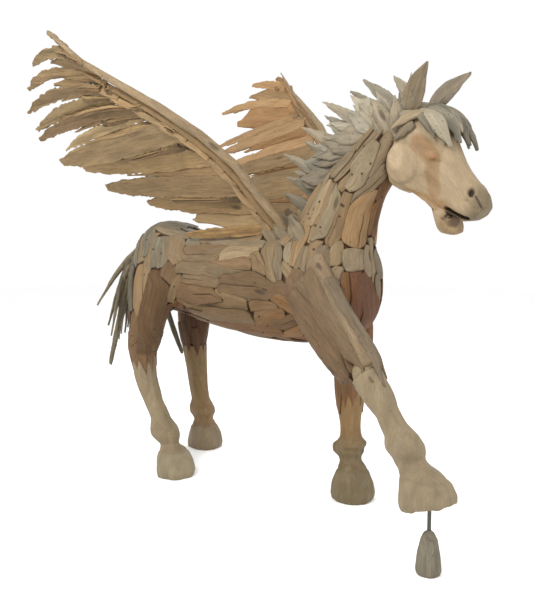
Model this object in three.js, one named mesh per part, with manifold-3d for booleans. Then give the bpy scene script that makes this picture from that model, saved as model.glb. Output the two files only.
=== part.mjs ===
// Life-size winged horse built from driftwood, rearing one foreleg on a rod and peg.
// Millimetres, +Z up. The horse faces +X, its right side is -Y, and the ground is Z = 0.
import * as THREE from 'three';
import Module from 'manifold-3d';
import { mergeVertices } from 'three/addons/utils/BufferGeometryUtils.js';

const wasm = await Module();
wasm.setup();

// ---- Driving dimensions ----------------------------------------------------------------------
const SEAM = 0.3; // clearance left between neighbouring pieces
const RIGHT = -1;
const LEFT = 1;
const BODY_SIDES = 16;
const HEAD_SIDES = 14;
const LIMB_SIDES = 12;
const FEATHER_THICK = 20;
const LAYER_STEP = 11; // every other feather lies this far forward or back, so that they shingle
const INNER_REACH = 0.84; // part of the leading edge that the inner strip follows
const STRIP_WIDE = 46; // each of the two strips that make a wing's leading edge
const STRIP_THICK = 44;
const ROD_RADIUS = 8;
const PEG_HEIGHT = 172;
const PEG_RADIUS = 50;
const PEG_PLACE = [1108, -281];
const ROD_TOP = 300;

// ---- Materials -------------------------------------------------------------------------------
function wood(name, color, roughness = 0.8) {
  const material = new THREE.MeshStandardMaterial({ color, roughness, metalness: 0 });
  material.name = name;
  return material;
}

const CARVED_PALE = wood('carved_pale_wood', 0xc3a283, 0.6);
const BOARD_TAN = wood('tan_driftwood', 0xa98e6e);
const BOARD_GREY = wood('grey_driftwood', 0x9a8b77);
const BOARD_BROWN = wood('brown_driftwood', 0x8d6848);
const WING_ORANGE = wood('wing_driftwood', 0xb18a5f);
const MANE_GREY = wood('mane_driftwood', 0xb0a595);
const STEEL = new THREE.MeshStandardMaterial({ color: 0x77777a, roughness: 0.4, metalness: 0.9 });
STEEL.name = 'steel_rod';

// ---- Shape tools -----------------------------------------------------------------------------
// Value of a smooth curve through the numbers a, b, c, d, between b and c.
function smooth(a, b, c, d, t) {
  const bend = 2 * b + (c - a) * t + (2 * a - 5 * b + 4 * c - d) * t * t;
  return 0.5 * (bend + (3 * b - a - 3 * c + d) * t * t * t);
}

// Rows of numbers, with more rows worked out between them on smooth curves.
function refine(rows, steps) {
  const fine = [];
  for (let i = 0; i < rows.length - 1; i += 1) {
    const a = rows[Math.max(i - 1, 0)];
    const b = rows[i];
    const c = rows[i + 1];
    const d = rows[Math.min(i + 2, rows.length - 1)];
    for (let k = 0; k < steps; k += 1) {
      fine.push(b.map((value, j) => smooth(a[j], value, c[j], d[j], k / steps)));
    }
  }
  fine.push(rows[rows.length - 1]);
  return fine;
}

// A closed skin over rings of points that all have the same count, with a cap on each end.
function skin(rings) {
  const sides = rings[0].length;
  const positions = [];
  const index = [];
  rings.forEach((ring) => ring.forEach((point) => positions.push(point.x, point.y, point.z)));
  for (let i = 0; i < rings.length - 1; i += 1) {
    for (let k = 0; k < sides; k += 1) {
      const next = (k + 1) % sides;
      const [a, b] = [i * sides + k, i * sides + next];
      const [c, d] = [a + sides, b + sides];
      index.push(a, b, d, a, d, c);
    }
  }
  for (const [ring, flip] of [[0, true], [rings.length - 1, false]]) {
    const middle = new THREE.Vector3();
    rings[ring].forEach((point) => middle.addScaledVector(point, 1 / sides));
    const centre = positions.length / 3;
    positions.push(middle.x, middle.y, middle.z);
    for (let k = 0; k < sides; k += 1) {
      const [a, b] = [ring * sides + k, ring * sides + ((k + 1) % sides)];
      index.push(...(flip ? [b, a, centre] : [a, b, centre]));
    }
  }
  const geometry = new THREE.BufferGeometry();
  geometry.setAttribute('position', new THREE.Float32BufferAttribute(positions, 3));
  geometry.setIndex(index);
  return geometry;
}

// One ring of a form: a rounded box with the half sizes `deep` and `wide`.
function ring(centre, deepWay, wideWay, deep, wide, sides, power) {
  const points = [];
  for (let k = 0; k < sides; k += 1) {
    const angle = (2 * Math.PI * (k + 0.5)) / sides;
    const round = (value) => Math.sign(value) * Math.abs(value) ** (2 / power);
    const point = centre.clone();
    point.addScaledVector(deepWay, deep * round(Math.cos(angle)));
    point.addScaledVector(wideWay, wide * round(Math.sin(angle)));
    points.push(point);
  }
  return points;
}

// A limb or body lofted over ribs that stand across the horse. A rib is
// [x, z, y, half depth, half width, turn], where turn is the tilt of its depth from level.
function loft(ribs, { sides = LIMB_SIDES, power = 2.2, steps = 2 } = {}) {
  const across = new THREE.Vector3(0, 1, 0);
  const rings = refine(ribs, steps).map(([x, z, y, deep, wide, turn]) => {
    const tilt = THREE.MathUtils.degToRad(turn);
    const depthWay = new THREE.Vector3(Math.cos(tilt), 0, Math.sin(tilt));
    return ring(new THREE.Vector3(x, y, z), depthWay, across, deep, wide, sides, power);
  });
  return outward(skin(rings));
}

// Turns a closed skin inside out if its faces look inward.
function outward(geometry) {
  const place = geometry.attributes.position;
  const index = geometry.index.array;
  const [a, b, c] = [new THREE.Vector3(), new THREE.Vector3(), new THREE.Vector3()];
  let volume = 0;
  for (let i = 0; i < index.length; i += 3) {
    a.fromBufferAttribute(place, index[i]);
    b.fromBufferAttribute(place, index[i + 1]);
    c.fromBufferAttribute(place, index[i + 2]);
    volume += a.dot(b.cross(c));
  }
  if (volume < 0) {
    for (let i = 0; i < index.length; i += 3) {
      [index[i], index[i + 1]] = [index[i + 1], index[i]];
    }
  }
  return geometry;
}

// Widths along a board, from its root to its tip, as parts of its full width.
const FEATHER = [0.82, 0.98, 1, 0.98, 0.78, 0.28];
const SHARD = [0.8, 1, 0.85, 0.5, 0.06];
const STRIP = [0.9, 1, 1, 1, 0.9, 0.75, 0.5, 0.12];
const STICK = [0.8, 1, 0.85, 0.7, 0.45];
const EAR = [0.55, 0.95, 1, 0.8, 0.45, 0.08];

// A rough board with six sides that follows a list of points. Its flat side looks along `face`.
function board(path, { wide, thick, face, shape = FEATHER, sides = 6 }) {
  const curve = new THREE.CatmullRomCurve3(path.map((point) => new THREE.Vector3(...point)));
  const rings = shape.map((part, i) => {
    const along = i / (shape.length - 1);
    const tangent = curve.getTangent(along);
    const widthWay = new THREE.Vector3(...face).cross(tangent).normalize();
    const faceWay = new THREE.Vector3().crossVectors(tangent, widthWay);
    const flat = (thick / 2) * (0.4 + 0.6 * part);
    return ring(curve.getPoint(along), widthWay, faceWay, (wide / 2) * part, flat, sides, 2.6);
  });
  return outward(skin(rings));
}

// ---- Joining and cutting ---------------------------------------------------------------------
function welded(geometry) {
  const bare = geometry.clone();
  bare.deleteAttribute('normal');
  bare.deleteAttribute('uv');
  return mergeVertices(bare, 1e-4);
}

function toSolid(geometry) {
  const merged = welded(geometry);
  return new wasm.Manifold(new wasm.Mesh({
    numProp: 3,
    vertProperties: new Float32Array(merged.attributes.position.array),
    triVerts: new Uint32Array(merged.index.array),
  }));
}

function toGeometry(solid) {
  const mesh = solid.getMesh();
  const geometry = new THREE.BufferGeometry();
  geometry.setAttribute('position', new THREE.Float32BufferAttribute(mesh.vertProperties, 3));
  geometry.setIndex([...mesh.triVerts]);
  return geometry;
}

// The same skin pushed outward, so that what it cuts keeps a seam.
function swollen(geometry) {
  const fat = welded(geometry);
  fat.computeVertexNormals();
  const place = fat.attributes.position;
  for (let i = 0; i < place.count; i += 1) {
    const push = new THREE.Vector3().fromBufferAttribute(fat.attributes.normal, i);
    const point = new THREE.Vector3().fromBufferAttribute(place, i).addScaledVector(push, SEAM * 2.4);
    place.setXYZ(i, point.x, point.y, point.z);
  }
  return toSolid(fat);
}

function largest(solid) {
  const bodies = solid.decompose();
  bodies.sort((a, b) => b.volume() - a.volume());
  return bodies[0];
}

const pegasus = new THREE.Group();
pegasus.name = 'driftwood_winged_horse';
const horse = new THREE.Group();
horse.name = 'horse';
pegasus.add(horse);
const placed = [];

// Adds a piece, cut back from every earlier piece that it would run into.
function add(name, material, geometry) {
  let solid = toSolid(geometry);
  const reach = solid.boundingBox();
  for (const other of placed) {
    const apart = [0, 1, 2].some((k) => reach.min[k] > other.max[k] + 1 || reach.max[k] < other.min[k] - 1);
    if (!apart) {
      solid = solid.subtract(other.fat);
    }
  }
  const kept = toGeometry(largest(solid));
  const box = largest(solid).boundingBox();
  placed.push({ fat: swollen(geometry), min: box.min, max: box.max });
  const flat = kept.toNonIndexed();
  flat.computeVertexNormals();
  const mesh = new THREE.Mesh(flat, material);
  mesh.name = name;
  horse.add(mesh);
  return mesh;
}

// ---- Body and neck ---------------------------------------------------------------------------
function buildBody() {
  const ribs = [
    [-848, 1160, 0, 70, 60, 90], // rump end
    [-820, 1160, 0, 145, 135, 90],
    [-745, 1155, 0, 210, 202, 90],
    [-630, 1140, 0, 240, 235, 90], // hips
    [-500, 1105, 0, 232, 238, 90],
    [-340, 1075, 0, 232, 238, 90], // flank
    [-120, 1062, 0, 250, 250, 90],
    [90, 1062, 0, 268, 255, 90], // girth
    [270, 1078, 0, 290, 248, 90], // withers
    [420, 1080, 0, 278, 235, 90],
    [540, 1075, 0, 235, 205, 90], // chest
    [610, 1070, 0, 190, 160, 90],
    [650, 1065, 0, 120, 100, 90],
  ];
  return loft(ribs, { sides: BODY_SIDES, power: 2.25, steps: 2 });
}

function buildNeck() {
  const ribs = [
    [400, 1180, 0, 215, 190, 148],
    [462, 1290, 0, 205, 165, 148],
    [518, 1430, 0, 170, 128, 148],
    [600, 1558, 0, 142, 100, 140],
    [700, 1660, 0, 136, 85, 130],
    [795, 1725, 0, 130, 75, 125],
  ];
  return loft(ribs, { sides: 14, power: 2.1, steps: 2 });
}

// ---- Head ------------------------------------------------------------------------------------
function buildHead() {
  const skull = loft([
    [782, 1715, 0, 95, 45, 60], // poll
    [815, 1695, 0, 160, 78, 60],
    [862, 1655, 0, 178, 98, 58], // cheek
    [925, 1600, 0, 160, 100, 55], // eyes
    [985, 1540, 0, 125, 82, 52],
    [1040, 1483, 0, 98, 68, 50],
    [1092, 1435, 0, 85, 62, 48], // nostrils
    [1137, 1402, 0, 70, 60, 46],
    [1168, 1380, 0, 38, 42, 44], // lips
  ], { sides: HEAD_SIDES, power: 2.2, steps: 2 });
  const jaw = loft([
    [850, 1520, 0, 52, 48, 60],
    [925, 1440, 0, 48, 50, 50],
    [985, 1370, 0, 42, 46, 40],
    [1028, 1328, 0, 40, 42, 32],
    [1068, 1308, 0, 24, 28, 26], // chin
  ], { sides: 12, power: 2.2, steps: 2 });
  const mouth = loft([
    [960, 1405, 0, 6, 90, 52],
    [1020, 1372, 0, 16, 90, 50],
    [1085, 1341, 0, 24, 90, 45],
    [1160, 1310, 0, 28, 90, 42],
  ], { sides: 8, power: 2, steps: 1 });
  let head = toSolid(skull).add(toSolid(jaw)).subtract(toSolid(mouth));
  for (const side of [RIGHT, LEFT]) {
    const nostril = new THREE.SphereGeometry(13, 8, 6);
    nostril.scale(1.3, 1, 0.8);
    nostril.translate(1128, side * 62, 1432);
    const brow = new THREE.SphereGeometry(30, 8, 6);
    brow.scale(1.2, 0.5, 0.8);
    brow.translate(975, side * 82, 1612);
    head = head.add(toSolid(brow)).subtract(toSolid(nostril));
  }
  return toGeometry(largest(head));
}

// ---- Legs ------------------------------------------------------------------------------------
// The carved lower part of a standing leg, from the hock or knee down to the hoof.
// `top` is where it starts and `foot` the middle of its sole, each [x, y]. `bow` moves the cannon
// bone and `ankle` the fetlock toward the foot, as parts of the way there.
function standingLeg({ top, height, foot, bow = 0, ankle = 0 }) {
  const [tx, ty] = top;
  const [fx, fy] = foot;
  const heights = [
    // part of the height, part of the way to the foot, half depth, half width
    [1, 0, 74, 66],
    [0.82, 0.14 + bow, 68, 60],
    [0.62, 0.36 + bow, 57, 54],
    [0.47, 0.6 + bow, 55, 54],
    [0.38, 0.78 + ankle, 72, 68], // fetlock
    [0.335, 0.82 + ankle, 82, 72],
    [0.265, 0.9 + ankle / 2, 60, 58], // pastern
    [0.22, 0.95, 72, 72], // coronet
    [0.13, 1.0, 98, 92],
    [0.05, 1.02, 106, 98],
    [0, 1.0, 100, 92],
  ];
  const ribs = heights.map(([rise, way, deep, wide]) => {
    return [tx + (fx - tx) * way, height * rise, ty + (fy - ty) * way, deep, wide, 0];
  });
  return loft(ribs, { steps: 1, power: 2.15 });
}

function raisedLowerLeg() {
  const ribs = [
    [806, 735, -265, 72, 68, 36], // knee
    [850, 672, -266, 66, 62, 36],
    [905, 600, -268, 59, 57, 36],
    [955, 535, -270, 58, 56, 36],
    [985, 485, -272, 80, 70, 34], // fetlock
    [1000, 455, -273, 82, 72, 32],
    [1030, 415, -276, 66, 62, 28], // pastern
    [1060, 378, -278, 78, 76, 24], // coronet
    [1085, 330, -280, 104, 92, 20],
    [1098, 290, -281, 114, 98, 17],
    [1105, 268, -281, 108, 92, 16], // sole
  ];
  return loft(ribs, { steps: 1, power: 2.15 });
}

function buildLegs() {
  add('lower_foreleg_right', CARVED_PALE, raisedLowerLeg());
  const standing = [
    ['lower_foreleg_left', { top: [418, 190], height: 560, foot: [445, 184], bow: -0.2, ankle: -1 }],
    ['lower_hindleg_right', { top: [-716, -180], height: 640, foot: [-485, -160], bow: -0.06, ankle: -0.1 }],
    ['lower_hindleg_left', { top: [-780, 270], height: 640, foot: [-742, 315] }],
  ];
  standing.forEach(([name, sizes]) => add(name, CARVED_PALE, standingLeg(sizes)));
  add('upper_foreleg_right_rear_board', BOARD_BROWN, loft([
    [345, 1180, -165, 50, 40, 40],
    [400, 1095, -210, 70, 50, 40],
    [478, 980, -238, 70, 52, 40],
    [580, 860, -255, 66, 50, 40],
    [676, 765, -262, 62, 46, 40],
    [728, 702, -264, 46, 38, 40],
  ]));
  add('upper_foreleg_right_front_board', BOARD_GREY, loft([
    [455, 1210, -150, 50, 40, 38],
    [505, 1130, -198, 66, 50, 38],
    [600, 1012, -235, 64, 52, 38],
    [700, 905, -256, 62, 50, 38],
    [790, 812, -264, 58, 48, 38],
    [838, 762, -266, 46, 40, 38],
  ]));
  add('upper_foreleg_left', BOARD_BROWN, loft([
    [420, 1000, 170, 110, 62, 0],
    [425, 860, 192, 112, 72, 0],
    [430, 720, 196, 96, 76, 0],
    [420, 620, 192, 80, 68, 0],
    [418, 562, 190, 72, 62, 0],
  ]));
  add('thigh_right', BOARD_BROWN, loft([
    [-650, 1290, -120, 120, 60, 0],
    [-615, 1160, -182, 165, 66, 0],
    [-605, 1010, -212, 158, 80, 0],
    [-620, 880, -215, 130, 80, 0],
    [-665, 760, -200, 104, 76, 0],
    [-705, 680, -188, 84, 70, 0],
    [-712, 642, -182, 74, 62, 0],
  ]));
  add('thigh_left', BOARD_BROWN, loft([
    [-650, 1270, 120, 120, 60, 0],
    [-680, 1120, 180, 160, 64, 0],
    [-720, 960, 225, 140, 78, 0],
    [-748, 850, 245, 122, 78, 0],
    [-775, 740, 258, 102, 74, 0],
    [-785, 642, 268, 74, 64, 0],
  ]));
}

function buildRodAndPeg() {
  const [x, y] = PEG_PLACE;
  const profile = [
    new THREE.Vector2(0, 0),
    new THREE.Vector2(PEG_RADIUS * 0.9, 0),
    new THREE.Vector2(PEG_RADIUS, 14),
    new THREE.Vector2(PEG_RADIUS * 0.9, PEG_HEIGHT * 0.45),
    new THREE.Vector2(PEG_RADIUS * 0.7, PEG_HEIGHT * 0.78),
    new THREE.Vector2(PEG_RADIUS * 0.42, PEG_HEIGHT * 0.95),
    new THREE.Vector2(ROD_RADIUS + 2, PEG_HEIGHT),
    new THREE.Vector2(0, PEG_HEIGHT),
  ];
  const peg = new THREE.LatheGeometry(profile, 16);
  peg.rotateX(Math.PI / 2);
  peg.translate(x, y, 0);
  add('wooden_peg', CARVED_PALE, peg);
  const length = ROD_TOP - PEG_HEIGHT;
  const rod = new THREE.CylinderGeometry(ROD_RADIUS, ROD_RADIUS, length, 10);
  rod.rotateX(Math.PI / 2);
  rod.translate(x, y, PEG_HEIGHT + length / 2);
  add('steel_rod', STEEL, rod);
}

// ---- Ears, forelock, mane, tail --------------------------------------------------------------
function buildEars() {
  const ears = [
    // name, side, [x, z] of the base, [x, z] of the tip
    ['right', RIGHT, [868, 1800], [1000, 1958]],
    ['left', LEFT, [905, 1822], [1022, 1972]],
  ];
  for (const [name, side, base, tip] of ears) {
    const path = [
      [base[0], side * 62, base[1]],
      [(base[0] + tip[0]) / 2 - 12, side * 112, (base[1] + tip[1]) / 2 + 10],
      [tip[0], side * 168, tip[1]],
    ];
    const shape = { wide: 82, thick: 34, face: [0.5, side * 0.9, 0.1], shape: EAR };
    add(`ear_${name}`, BOARD_TAN, board(path, shape));
  }
}

// Shards of the forelock: where each starts, and where its point hangs.
const FORELOCK = [
  [[925, -40, 1800], [1028, -70, 1650]],
  [[955, -5, 1815], [1062, -35, 1668]],
  [[965, 30, 1812], [1088, 25, 1640]],
  [[940, 66, 1800], [1062, 74, 1672]],
];

function buildForelock() {
  FORELOCK.forEach(([root, tip], i) => {
    const middle = root.map((value, k) => (value + tip[k]) / 2 + [26, 0, 26][k]);
    const shape = { wide: 46, thick: 20, face: [0.7, 0, 0.7], shape: SHARD };
    add(`forelock_shard_${i + 1}`, MANE_GREY, board([root, middle, tip], shape));
  });
}

// Shards of the mane along the crest: [x, z of the root, length, rise of the point, lean to a side].
const MANE = [
  [830, 1838, 170, 56, 20],
  [778, 1822, 205, 44, -30],
  [712, 1796, 260, 36, 30],
  [650, 1760, 262, 31, -40],
  [590, 1722, 262, 30, 25],
  [535, 1676, 262, 27, -35],
  [482, 1618, 280, 28, 30],
  [430, 1550, 262, 30, -40],
  [375, 1480, 255, 24, 20],
  [320, 1418, 170, 30, -20],
];

function buildMane() {
  MANE.forEach(([x, z, length, rise, lean], i) => {
    const way = THREE.MathUtils.degToRad(rise);
    const root = [x + 40, 0, z - 40];
    const tip = [x - length * Math.cos(way), lean * 1.6, z + length * Math.sin(way)];
    const middle = [(root[0] + tip[0]) / 2, lean, (root[2] + tip[2]) / 2 + 12];
    const shape = { wide: 74, thick: 28, face: [0, 1, 0], shape: SHARD };
    add(`mane_shard_${i + 1}`, MANE_GREY, board([root, middle, tip], shape));
  });
}

const TAIL = [
  { path: [[-800, 10, 1290], [-985, 15, 1080], [-1110, 5, 960], [-1215, 0, 862]], wide: 52 },
  { path: [[-800, -45, 1250], [-1010, -50, 980], [-1130, -40, 740], [-1225, -30, 500]], wide: 50 },
  { path: [[-800, 55, 1230], [-960, 60, 960], [-1030, 55, 760], [-1085, 50, 600]], wide: 44 },
  { path: [[-780, 100, 1170], [-860, 100, 950], [-770, 90, 760], [-680, 80, 615]], wide: 40 },
];

function buildTail() {
  TAIL.forEach(({ path, wide }, i) => {
    const shape = { wide, thick: 34, face: [0, 1, 0], shape: STICK };
    add(`tail_stick_${i + 1}`, BOARD_GREY, board(path, shape));
  });
}

// ---- Wings -----------------------------------------------------------------------------------
// Leading edge of a wing from the shoulder to the tip, as [x, distance from the middle, z].
const RIGHT_EDGE = [
  [315, 120, 1275],
  [231, 252, 1457],
  [168, 362, 1609],
  [59, 470, 1739],
  [-86, 574, 1858],
  [-271, 675, 1980],
  [-432, 745, 2084],
  [-590, 812, 2235],
];
// The left wing is held a little higher toward its tip.
const LEFT_EDGE = RIGHT_EDGE.map(([x, y, z], i) => [x + 7 * Math.min(i, 6), y, z + 12 * i]);

// Feather boards: [place along the edge, length, droop in degrees, width, arch].
const RIGHT_FEATHERS = [
  [0.92, 190, -30, 40, 0],
  [0.84, 420, -8, 50, 60],
  [0.77, 640, -5, 60, 75],
  [0.72, 720, 1, 66, 60],
  [0.67, 780, 5, 70, 50],
  [0.62, 850, 4, 80, 45],
  [0.58, 740, 8, 60, 30],
  [0.5, 930, 5, 150, 0],
  [0.36, 1010, 0, 145, 0],
  [0.22, 990, -2, 140, 0],
  [0.13, 800, -3, 115, 0],
  [0.06, 590, 3, 60, 0],
];
const LEFT_FEATHERS = [
  [0.9, 330, -11, 60, 20],
  [0.81, 570, -1, 76, 45],
  [0.73, 690, 11, 70, 0],
  [0.64, 680, 10, 115, 0],
  [0.54, 680, 9, 110, 0],
  [0.43, 700, 7, 140, 0],
  [0.32, 720, 5, 140, 0],
  [0.22, 720, 3, 130, 0],
  [0.13, 640, 0, 115, 0],
];

function buildWing(name, side, edge, feathers) {
  const points = edge.map(([x, y, z]) => new THREE.Vector3(x, side * y, z));
  const curve = new THREE.CatmullRomCurve3(points);
  const back = new THREE.Vector3(-1, 0, 0);
  const faceAt = (t) => new THREE.Vector3().crossVectors(curve.getTangent(t), back).normalize();
  const sideStep = (t, amount) => {
    const across = new THREE.Vector3().crossVectors(faceAt(t), curve.getTangent(t)).normalize();
    return curve.getPoint(t).addScaledVector(across, amount);
  };
  for (const [strip, offset, reach] of [['outer', 0, 1], ['inner', STRIP_WIDE, INNER_REACH]]) {
    const path = [];
    for (let i = 0; i < STRIP.length; i += 1) {
      path.push(sideStep((i / (STRIP.length - 1)) * reach, offset).toArray());
    }
    const shape = { wide: STRIP_WIDE, thick: STRIP_THICK, face: faceAt(0.5).toArray(), shape: STRIP };
    add(`wing_${name}_${strip}_strip`, WING_ORANGE, board(path, shape));
  }
  feathers.forEach(([at, length, droop, wide, arch], i) => {
    const face = faceAt(at);
    const fall = THREE.MathUtils.degToRad(droop);
    const way = new THREE.Vector3(-Math.cos(fall), 0, -Math.sin(fall));
    const lift = new THREE.Vector3().crossVectors(way, face).normalize();
    if (lift.z < 0) {
      lift.negate();
    }
    const layer = (i % 2 ? 1 : -1) * LAYER_STEP;
    const root = sideStep(at, at < INNER_REACH ? STRIP_WIDE * 1.2 : 0).addScaledVector(face, layer);
    const path = [0, 0.35, 0.7, 1].map((part) => {
      const point = root.clone().addScaledVector(way, length * part);
      return point.addScaledVector(lift, arch * Math.sin(Math.PI * part)).toArray();
    });
    const shape = { wide, thick: FEATHER_THICK, face: face.toArray() };
    add(`wing_${name}_feather_${i + 1}`, WING_ORANGE, board(path, shape));
  });
}

// ---- Assembly --------------------------------------------------------------------------------
add('head', CARVED_PALE, buildHead());
add('neck', BOARD_GREY, buildNeck());
add('body', BOARD_TAN, buildBody());
buildLegs();
buildRodAndPeg();
buildEars();
buildForelock();
buildMane();
buildTail();
buildWing('right', RIGHT, RIGHT_EDGE, RIGHT_FEATHERS);
buildWing('left', LEFT, LEFT_EDGE, LEFT_FEATHERS);

// The origin is the middle of the footprint box, on the ground.
const extent = new THREE.Box3().setFromObject(horse);
horse.position.set(-(extent.min.x + extent.max.x) / 2, -(extent.min.y + extent.max.y) / 2, -extent.min.z);

export default pegasus;
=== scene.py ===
"""A winged horse assembled from driftwood boards, shards and branches, on three hooves and one peg."""

import math

import bpy
import numpy as np
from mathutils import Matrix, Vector
from mathutils.bvhtree import BVHTree


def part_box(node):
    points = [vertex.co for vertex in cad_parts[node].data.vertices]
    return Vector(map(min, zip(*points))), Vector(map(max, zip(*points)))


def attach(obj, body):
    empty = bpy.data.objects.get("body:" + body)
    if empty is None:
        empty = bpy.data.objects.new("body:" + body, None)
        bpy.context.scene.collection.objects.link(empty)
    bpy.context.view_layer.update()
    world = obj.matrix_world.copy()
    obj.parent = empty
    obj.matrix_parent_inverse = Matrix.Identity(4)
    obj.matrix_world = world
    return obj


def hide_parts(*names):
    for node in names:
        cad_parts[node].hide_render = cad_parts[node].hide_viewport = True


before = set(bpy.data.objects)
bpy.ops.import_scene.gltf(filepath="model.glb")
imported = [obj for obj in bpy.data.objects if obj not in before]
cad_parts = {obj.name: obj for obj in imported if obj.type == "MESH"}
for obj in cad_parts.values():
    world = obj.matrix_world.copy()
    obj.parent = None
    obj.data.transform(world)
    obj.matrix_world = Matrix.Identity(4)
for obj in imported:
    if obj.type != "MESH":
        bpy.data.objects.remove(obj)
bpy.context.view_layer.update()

peg_low, peg_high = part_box("wooden_peg")
# The sculpture's own measures put the peg at (1.108, -0.281); this moves them into the part's frame.
SHIFT = np.array([(peg_low[0] + peg_high[0]) / 2 - 1.108, (peg_low[1] + peg_high[1]) / 2 + 0.281, 0.0])

# Colours are given as they look in the studio's light, which brightens wood; this takes that out again.
LIT = np.array([0.622, 0.602, 0.570])
rng = np.random.default_rng(11)
LATTICE_SIZE = 32
LATTICE = rng.random((LATTICE_SIZE, LATTICE_SIZE, LATTICE_SIZE)) * 2 - 1


# ---------------------------------------------------------------- numbers and meshes

def noise(points, scale, seed=0.0):
    """Smooth noise from -1 to 1 at each point; scale is one number or one for each axis."""
    p = np.asarray(points, float) * scale + seed * 7.31
    cell = np.floor(p).astype(int)
    f = p - cell
    f = f * f * (3 - 2 * f)
    total = np.zeros(p.shape[:-1])
    for corner in range(8):
        offset = np.array([corner & 1, corner >> 1 & 1, corner >> 2 & 1])
        weight = np.prod(np.where(offset, f, 1 - f), axis=-1)
        at = (cell + offset) % LATTICE_SIZE
        total += weight * LATTICE[at[..., 0], at[..., 1], at[..., 2]]
    return total


def fractal(points, scale, seed=0.0):
    """Three layers of noise, each about twice as fine and half as strong as the one before."""
    scale = np.asarray(scale, float)
    return (noise(points, scale, seed) + 0.5 * noise(points, scale * 2.1, seed + 1)
            + 0.25 * noise(points, scale * 4.3, seed + 2)) / 1.75


def unit(v):
    v = np.asarray(v, float)
    return v / np.maximum(np.linalg.norm(v, axis=-1, keepdims=True), 1e-9)


def ramp(x, low, high):
    """0 below low, 1 above high, smooth between."""
    t = np.clip((np.asarray(x, float) - low) / (high - low), 0, 1)
    return t * t * (3 - 2 * t)


def linear(rgb):
    c = np.asarray(rgb, float) / 255
    return np.where(c <= 0.04045, c / 12.92, ((c + 0.055) / 1.055) ** 2.4) * LIT


def read(items, field, kind=float):
    """A field of three numbers of each of a mesh's items."""
    values = np.empty(len(items) * 3, kind)
    items.foreach_get(field, values)
    return values.reshape(-1, 3)


def node_mesh(*names):
    """The vertices and triangles of CAD nodes, together."""
    verts, tris, count = [], [], 0
    for name in names:
        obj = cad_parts[name]
        mesh = obj.data
        mesh.calc_loop_triangles()
        turn = np.array(obj.matrix_world)
        co = read(mesh.vertices, "co") @ turn[:3, :3].T + turn[:3, 3]
        verts.append(co)
        tris.append(read(mesh.loop_triangles, "vertices", int) + count)
        count += len(co)
    return np.concatenate(verts), np.concatenate(tris)


def mesh_from(name, verts, faces):
    """A mesh from an array of vertices and a list of face arrays, each of one number of corners."""
    mesh = bpy.data.meshes.new(name)
    loops = np.concatenate([f.ravel() for f in faces])
    sizes = np.concatenate([np.full(len(f), f.shape[1]) for f in faces])
    starts = np.concatenate([[0], np.cumsum(sizes)[:-1]])
    mesh.vertices.add(len(verts))
    mesh.vertices.foreach_set("co", np.asarray(verts, float).ravel())
    mesh.loops.add(len(loops))
    mesh.loops.foreach_set("vertex_index", loops)
    mesh.polygons.add(len(sizes))
    mesh.polygons.foreach_set("loop_start", starts)
    mesh.polygons.foreach_set("loop_total", sizes)
    mesh.polygons.foreach_set("use_smooth", np.ones(len(sizes), bool))
    mesh.update(calc_edges=True)
    mesh.validate()
    return mesh


def blob(centre, radii, count=24):
    """An egg-shaped lump, for fusing into a carved form."""
    turns = np.linspace(0, 2 * np.pi, count, endpoint=False)
    turn, rise = np.meshgrid(turns, np.linspace(0.08, np.pi - 0.08, count // 2))
    ball = np.stack([np.sin(rise) * np.cos(turn), np.sin(rise) * np.sin(turn), np.cos(rise)], axis=-1)
    ball = np.concatenate([ball.reshape(-1, 3), [[0, 0, 1], [0, 0, -1]]])
    i, j = np.meshgrid(np.arange(count // 2 - 1), np.arange(count), indexing="ij")
    a, b = i * count + j, i * count + (j + 1) % count
    tris = [np.stack([a, a + count, b], axis=-1).reshape(-1, 3),
            np.stack([b, a + count, b + count], axis=-1).reshape(-1, 3)]
    k, last = np.arange(count), (count // 2 - 1) * count
    tris.append(np.stack([np.full(count, len(ball) - 2), k, (k + 1) % count], axis=-1))
    tris.append(np.stack([np.full(count, len(ball) - 1), last + (k + 1) % count, last + k], axis=-1))
    return ball * np.array(radii) + np.array(centre), np.concatenate(tris)


def remeshed(names, voxel, rounds, lumps=()):
    """CAD nodes fused into one even skin and smoothed: its vertices, quads and normals."""
    verts, tris = node_mesh(*names)
    for centre, radii in lumps:
        more, faces = blob(np.array(centre) + SHIFT, radii)
        tris = np.concatenate([tris, faces + len(verts)])
        verts = np.concatenate([verts, more])
    obj = bpy.data.objects.new("skin", mesh_from("skin", verts, [tris]))
    bpy.context.scene.collection.objects.link(obj)
    remesh = obj.modifiers.new("remesh", "REMESH")
    remesh.mode = "VOXEL"
    remesh.voxel_size = voxel
    smooth = obj.modifiers.new("smooth", "SMOOTH")
    smooth.factor = 0.5
    smooth.iterations = rounds
    made = obj.evaluated_get(bpy.context.evaluated_depsgraph_get()).to_mesh()
    co = read(made.vertices, "co")
    normal = read(made.vertices, "normal")
    quads = np.array([tuple(f.vertices) for f in made.polygons if len(f.vertices) == 4])
    obj.to_mesh_clear()
    bpy.data.objects.remove(obj)
    return co, quads, normal


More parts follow.
